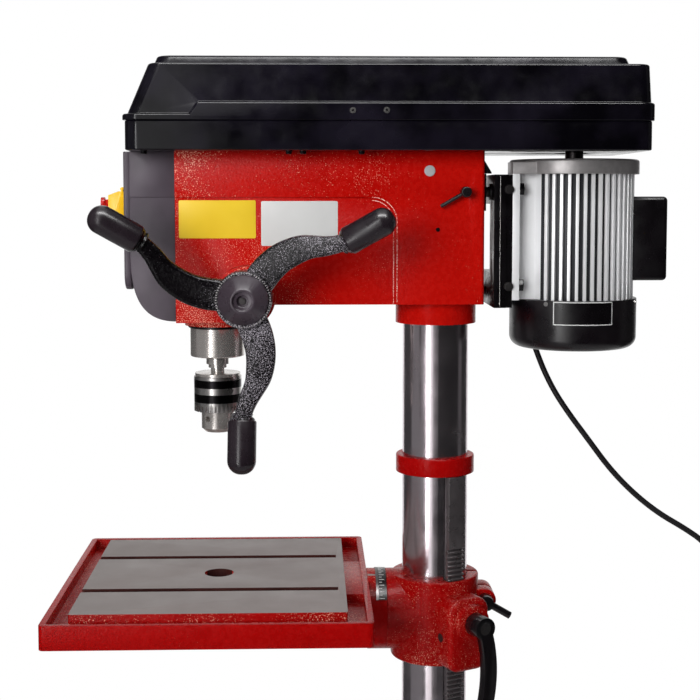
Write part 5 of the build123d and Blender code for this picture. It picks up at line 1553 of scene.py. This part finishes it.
    def rear_bracket(self) -> None:
        """Strip on the head's rear face with a small gusset above it."""
        seat = self.rear_y - self.sink
        strip = Forge.plate("rear_strip", (self.strip_x[0], seat, self.strip_z[0]),
                            (self.strip_x[1], self.rear_y + self.strip_thickness, self.strip_z[1]),
                            self.strip_corner, self.strip_edge)
        tip = self.rear_y + self.gusset_depth
        outline = ((seat, self.gusset_bottom), (tip, self.gusset_bottom), (tip, self.gusset_tip),
                   (seat, self.gusset_top))
        gusset = Forge.prism("rear_gusset", outline, *self.gusset_x)
        self.bench.place(Forge.joined("rear_bracket", [strip, gusset]), Body.FRAME, "plate_black",
                         "black_paint")

    def seals(self) -> None:
        """Guard round the upper slide bar and seal round the quill."""
        x, z = self.bar_place
        guard = Forge.turned("bar_guard", self.bar_guard, (x, self.rear_y, z), Y_AXIS, self.bar_guard_sides)
        self.bench.place(guard, Body.FRAME, "plate_black", "dark_steel")
        seal = Forge.turned("quill_seal", self.quill_seal, (0.0, self.spindle_y, self.boss_z), Z_AXIS,
                            self.quill_seal_sides)
        self.bench.place(seal, Body.FRAME, "plate_black", "black_plastic")


@dataclass
class MotorTrim:
    """Blank plate and screws on the motor's lower cowl, nuts on its mounting, and a bright steel strip on the
    mounting's edge that is partly a polished edge and partly a painted highlight.
    """

    bench: Bench
    repeats: Repeats
    axis_y: float = 189.5
    cowl_radius: float = 86.5
    plate_span: Span = (-28.0, 25.7)
    plate_heights: Span = (1295.0, 1326.0)
    frame_sink: float = 0.2
    frame_thickness: float = 0.6
    frame_width: float = 1.3
    frame_turn: float = 0.9
    field_sink: float = 0.1
    field_thickness: float = 0.7
    screw: Fastener = Fastener(
        "cowl_screws", Head.ROUND, radius=3.0, height=2.0, washer=1.0, crown=0.7,
        finish="bright_steel", slot="bright_steel", body=Body.CARRIAGE,
    )
    screw_turns: Tuple[float, ...] = (-34.6, 63.5)
    screw_z: float = 1322.5
    nut: Fastener = Fastener(
        "clip_nuts", Head.HEXAGON, radius=5.2, height=3.4, washer=1.2, crown=0.8,
        finish="dark_steel", slot="dark_steel", body=Body.CARRIAGE,
    )
    nut_heights: Tuple[float, ...] = (1474.5, 1345.5)
    nut_y: float = 91.0
    head_sink: float = 0.3
    slab_x: float = 65.0
    slab_y: Span = (78.8, 80.0)
    slab_z: Span = (1319.0, 1492.0)
    slab_rise: float = 1.4
    slab_corner: float = 0.3
    slab_edge: float = 0.2

    def build(self) -> None:
        """Add the plate, the screws, the nuts and the bright strip along the edge."""
        bottom, top = self.plate_heights
        first, last = self.plate_span
        self.wrap("motor_plate_frame", self.frame_sink, self.frame_thickness, self.plate_span,
                  self.plate_heights, "label_white", "cast_aluminium")
        self.wrap("motor_plate_field", self.field_sink, self.field_thickness,
                  (first + self.frame_turn, last - self.frame_turn),
                  (bottom + self.frame_width, top - self.frame_width), "plate_black", "black_plastic")
        self.screws()
        # Bright steel strip along the slab's edge: partly a polished edge, partly a painted highlight of the
        # edge.
        edge = Forge.plate("slab_edge", (self.slab_x, self.slab_y[0], self.slab_z[0]),
                           (self.slab_x + self.slab_rise, self.slab_y[1], self.slab_z[1]), self.slab_corner,
                           self.slab_edge)
        self.bench.place(edge, Body.CARRIAGE, "bright_steel", "bright_steel")

    def wrap(self, name: str, sink: float, thickness: float, span: Span, heights: Span, finish: str,
             slot: str) -> None:
        """Thin plate wrapped round the cowl.

        Args:
            name: Name of the piece.
            sink: How far it sits in the cowl's skin, in millimetres.
            thickness: Thickness in millimetres.
            span: First and last turn in degrees.
            heights: Lowest and highest place.
            finish: Name of its finish.
            slot: Material slot in the record.
        """
        piece = Forge.shell(name, self.cowl_radius - sink, thickness, span, heights,
                            (0.0, self.axis_y, 0.0), (X_AXIS, Y_AXIS, Z_AXIS))
        self.bench.place(piece, Body.CARRIAGE, finish, slot)

    def screws(self) -> None:
        """Screws round the cowl and nuts on the mounting."""
        reach = self.cowl_radius - self.head_sink
        places = []
        for turn in self.screw_turns:
            way = (math.cos(math.radians(turn)), math.sin(math.radians(turn)), 0.0)
            places.append(((way[0] * reach, self.axis_y + way[1] * reach, self.screw_z), way))
        self.repeats.fasteners(self.screw, places)
        self.repeats.fasteners(self.nut, [((self.slab_x - self.head_sink, self.nut_y, z), X_AXIS)
                                          for z in self.nut_heights])


@dataclass
class MainsLead:
    """Mains lead from its gland to the plug on the floor."""

    diameter: float = 8.5
    length: float = 1.76
    steps: int = 6
    round_steps: int = 5
    order: int = 3
    route: Tuple[Point, ...] = (
        (-100.0, 20.0, 1335.0),
        (-120.0, 20.0, 1335.0),
        (-142.2, 24.4, 1334.2),
        (-161.0, 37.0, 1332.5),
        (-173.6, 55.8, 1330.0),
        (-178.0, 78.0, 1327.0),
        (-177.0, 98.0, 1324.0),
        (-172.0, 118.0, 1316.0),
        (-165.0, 135.0, 1302.0),
        (-157.0, 148.0, 1283.0),
        (-148.0, 157.0, 1259.0),
        (-139.0, 165.0, 1233.0),
        (-129.0, 175.0, 1205.0),
        (-120.0, 189.0, 1176.0),
        (-113.0, 209.0, 1145.0),
        (-110.0, 236.0, 1109.0),
        (-110.0, 270.0, 1063.0),
        (-110.0, 307.0, 1025.0),
        (-110.0, 345.0, 995.0),
        (-110.0, 383.0, 973.0),
        (-110.0, 416.0, 950.0),
        (-110.0, 437.0, 913.0),
        (-110.0, 444.0, 866.0),
        (-111.0, 448.0, 796.0),
        (-112.0, 450.0, 700.0),
        (-112.0, 449.0, 596.0),
        (-111.0, 447.0, 490.0),
        (-110.0, 447.0, 384.0),
        (-109.0, 448.0, 284.0),
        (-109.0, 449.0, 194.0),
        (-109.0, 446.0, 118.0),
        (-109.0, 434.0, 62.0),
        (-109.0, 410.0, 24.0),
        (-109.0, 374.0, 7.0),
        (-108.0, 330.0, 5.0),
        (-105.0, 292.0, 8.0),
        (-103.0, 262.0, 11.5),
        (-102.0, 238.0, 12.0),
    )

    def build(self, bench: Bench, plug: bpy.types.Object) -> None:
        """Lay the lead as one smooth curve.

        Args:
            bench: The bench.
            plug: The plug at its far end; not used.
        """
        line = bpy.data.curves.new("mains_lead", "CURVE")
        line.dimensions = "3D"
        line.resolution_u = self.steps
        line.bevel_depth = self.diameter / 2 * MM
        line.bevel_resolution = self.round_steps
        line.use_fill_caps = True
        spline = line.splines.new("NURBS")
        spline.points.add(len(self.route) - 1)
        for point, place in zip(spline.points, self.route):
            point.co = (*(part * MM for part in place), 1.0)
        spline.order_u = self.order
        spline.use_endpoint_u = True
        piece = linked("mains_lead", line)
        bench.place(piece, Body.FRAME, "cord_black", "belt_rubber", ("power_cord",))


@dataclass(frozen=True)
class Lamp:
    """A rectangular lamp: a soft box, or a strip that only shine picks up. Places are in metres."""

    name: str
    place: Point
    target: Point
    size: Span
    power: float
    spread: float = 180.0
    strip: bool = False

    def build(self) -> None:
        """Hang the lamp and aim it."""
        data = bpy.data.lights.new(self.name, "AREA")
        data.shape = "RECTANGLE"
        data.size, data.size_y = self.size
        data.energy = self.power
        data.spread = math.radians(self.spread)
        lamp = linked(self.name, data)
        lamp.location = self.place
        lamp.rotation_euler = (Vector(self.target) - Vector(self.place)).to_track_quat("-Z", "Y").to_euler()
        lamp.visible_glossy = self.strip
        lamp.visible_diffuse = not self.strip


@dataclass
class Studio:
    """Camera, light, floor and white surroundings."""

    eye: Point = (1823.6, -173.7, 1466.2)
    yaw: float = -1.752
    pitch: float = 4.228
    focal_pixels: float = 1331.22
    frame_pixels: float = 700.0
    sensor: float = 36.0
    lift: float = -0.08
    sight: float = 100.0
    floor_radius: float = 1.7
    floor_sides: int = 96
    floor_colours: Tuple[Colour, Colour] = ((0.86, 0.86, 0.86), (0.9, 0.9, 0.9))
    floor_fade: Span = (0.55, 0.97)
    white: Tuple[float, ...] = (1.0, 1.0, 1.0, 1.0)
    soft_colour: Tuple[float, ...] = (0.94, 0.95, 0.97, 1.0)
    soft_level: float = 0.23
    lamps: Tuple[Lamp, ...] = (
        Lamp("key_box", (2.5, -1.4, 1.95), (0.0, -0.1, 1.5), (1.4, 1.4), 11.0, spread=60.0),
        Lamp("top_box", (0.2, -0.4, 3.4), (0.0, -0.1, 1.0), (1.8, 1.8), 13.0),
        Lamp("side_box", (1.6, 2.4, 2.0), (0.0, 0.1, 1.3), (1.2, 1.2), 4.0),
        Lamp("rear_box", (-2.4, 0.6, 2.3), (0.0, 0.0, 1.2), (1.6, 1.6), 30.0),
        Lamp("front_strip", (2.74, -1.65, 1.3), (0.0, 0.0, 1.3), (0.3, 2.8), 24.0, strip=True),
        Lamp("top_strip", (1.2, -0.1, 3.1), (0.0, -0.1, 1.5), (2.4, 0.4), 80.0, strip=True),
    )
    card_radius: float = 3400.0
    card_thickness: float = 10.0
    card_heights: Span = (-4000.0, 7000.0)
    cards: Tuple[Tuple[float, float, float], ...] = (
        (-150.0, -96.0, 0.12), (-96.0, -46.0, 0.5), (-46.0, -34.0, 0.16), (-13.0, 15.0, 0.06),
        (15.0, 84.0, 0.03), (84.0, 100.0, 0.25), (100.0, 140.0, 0.05),
    )

    def build(self) -> None:
        """Set everything up."""
        self.camera()
        self.floor()
        for lamp in self.lamps:
            lamp.build()
        self.dark_cards()
        self.surroundings()
        bpy.context.scene.view_settings.view_transform = "Standard"

    def camera(self) -> None:
        """Camera at the photograph's place."""
        data = bpy.data.cameras.new("view")
        data.sensor_width = self.sensor
        data.lens = self.focal_pixels / self.frame_pixels * self.sensor
        data.shift_y = self.lift
        data.clip_end = self.sight
        camera = linked("view", data)
        yaw = math.radians(self.yaw)
        pitch = math.radians(self.pitch)
        ahead = Vector((-math.cos(pitch) * math.cos(yaw), -math.cos(pitch) * math.sin(yaw), -math.sin(pitch)))
        camera.location = Vector(self.eye) * MM
        camera.rotation_euler = ahead.to_track_quat("-Z", "Y").to_euler()
        bpy.context.scene.camera = camera

    def floor(self) -> None:
        """Pale round floor that shows the shadow and melts into the white surroundings at its rim."""
        shape = bmesh.new()
        bmesh.ops.create_circle(shape, cap_ends=True, segments=self.floor_sides, radius=self.floor_radius)
        floor = Forge.from_bmesh("floor", shape)
        sheet = ShaderSheet("pale_floor")
        tone = sheet.ramp(sheet.noise(1.5, 2.0), 0.3, 0.7)
        colour = sheet.blend(tone, *self.floor_colours)
        floor.data.materials.append(sheet.dress(Base_Color=colour, Roughness=0.7))
        reach = sheet.node("ShaderNodeVectorMath")
        reach.operation = "LENGTH"
        sheet.put(reach.inputs[0], sheet.place)
        fade = sheet.ramp(reach.outputs["Value"], *(share * self.floor_radius for share in self.floor_fade))
        seen = sheet.combine("MULTIPLY", fade, sheet.node("ShaderNodeLightPath").outputs["Is Camera Ray"])
        glow = sheet.node("ShaderNodeEmission", Color=self.white)
        surface = sheet.mix_shaders(seen, sheet.shader.outputs[0], glow.outputs[0])
        sheet.put(sheet.output.inputs["Surface"], surface)
        floor.is_shadow_catcher = True
        floor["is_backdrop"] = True

    def dark_cards(self) -> None:
        """Tall dark cards round the front of the stage, which only reflections see."""
        for index, (first, last, grey) in enumerate(self.cards):
            card = Forge.shell(f"card_{index}", self.card_radius, self.card_thickness, (first, last),
                               self.card_heights, (0.0, 0.0, 0.0), (X_AXIS, Y_AXIS, Z_AXIS))
            sheet = ShaderSheet(card.name)
            card.data.materials.append(sheet.dress(Base_Color=(grey, grey, grey, 1.0), Roughness=1.0))
            card.visible_camera = False
            card.visible_diffuse = False
            card.visible_transmission = False
            card.visible_shadow = False
            card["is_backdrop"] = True

    def surroundings(self) -> None:
        """White for what the camera, metal and glass see, and soft light all round."""
        world = bpy.data.worlds.new("studio")
        bpy.context.scene.world = world
        world.use_nodes = True
        sheet = NodeSheet(world.node_tree)
        sheet.tree.nodes.clear()
        path = sheet.node("ShaderNodeLightPath")
        white = sheet.node("ShaderNodeBackground", Color=self.white)
        soft = sheet.node("ShaderNodeBackground", Color=self.soft_colour, Strength=self.soft_level)
        seen = path.outputs["Is Camera Ray"]
        for ray in ("Is Glossy Ray", "Is Transmission Ray"):
            seen = sheet.combine("MAXIMUM", seen, path.outputs[ray])
        surface = sheet.mix_shaders(seen, soft.outputs[0], white.outputs[0])
        sheet.node("ShaderNodeOutputWorld", Surface=surface)


def main() -> None:
    """Build the scene in order."""
    logging.basicConfig(level=logging.INFO, format="%(message)s")
    bench = Bench()
    Studio().build()
    shown = Machine(bench).dress()
    MainsLead().build(bench, shown["power_plug"])
    WorkTable().dress(bench, shown["table"])
    repeats = Repeats(bench)
    for trim in (HeadTrim, FeedHandle, TiltScale, MotorTrim):
        trim(bench, repeats).build()


if __name__ == "__main__":
    main()
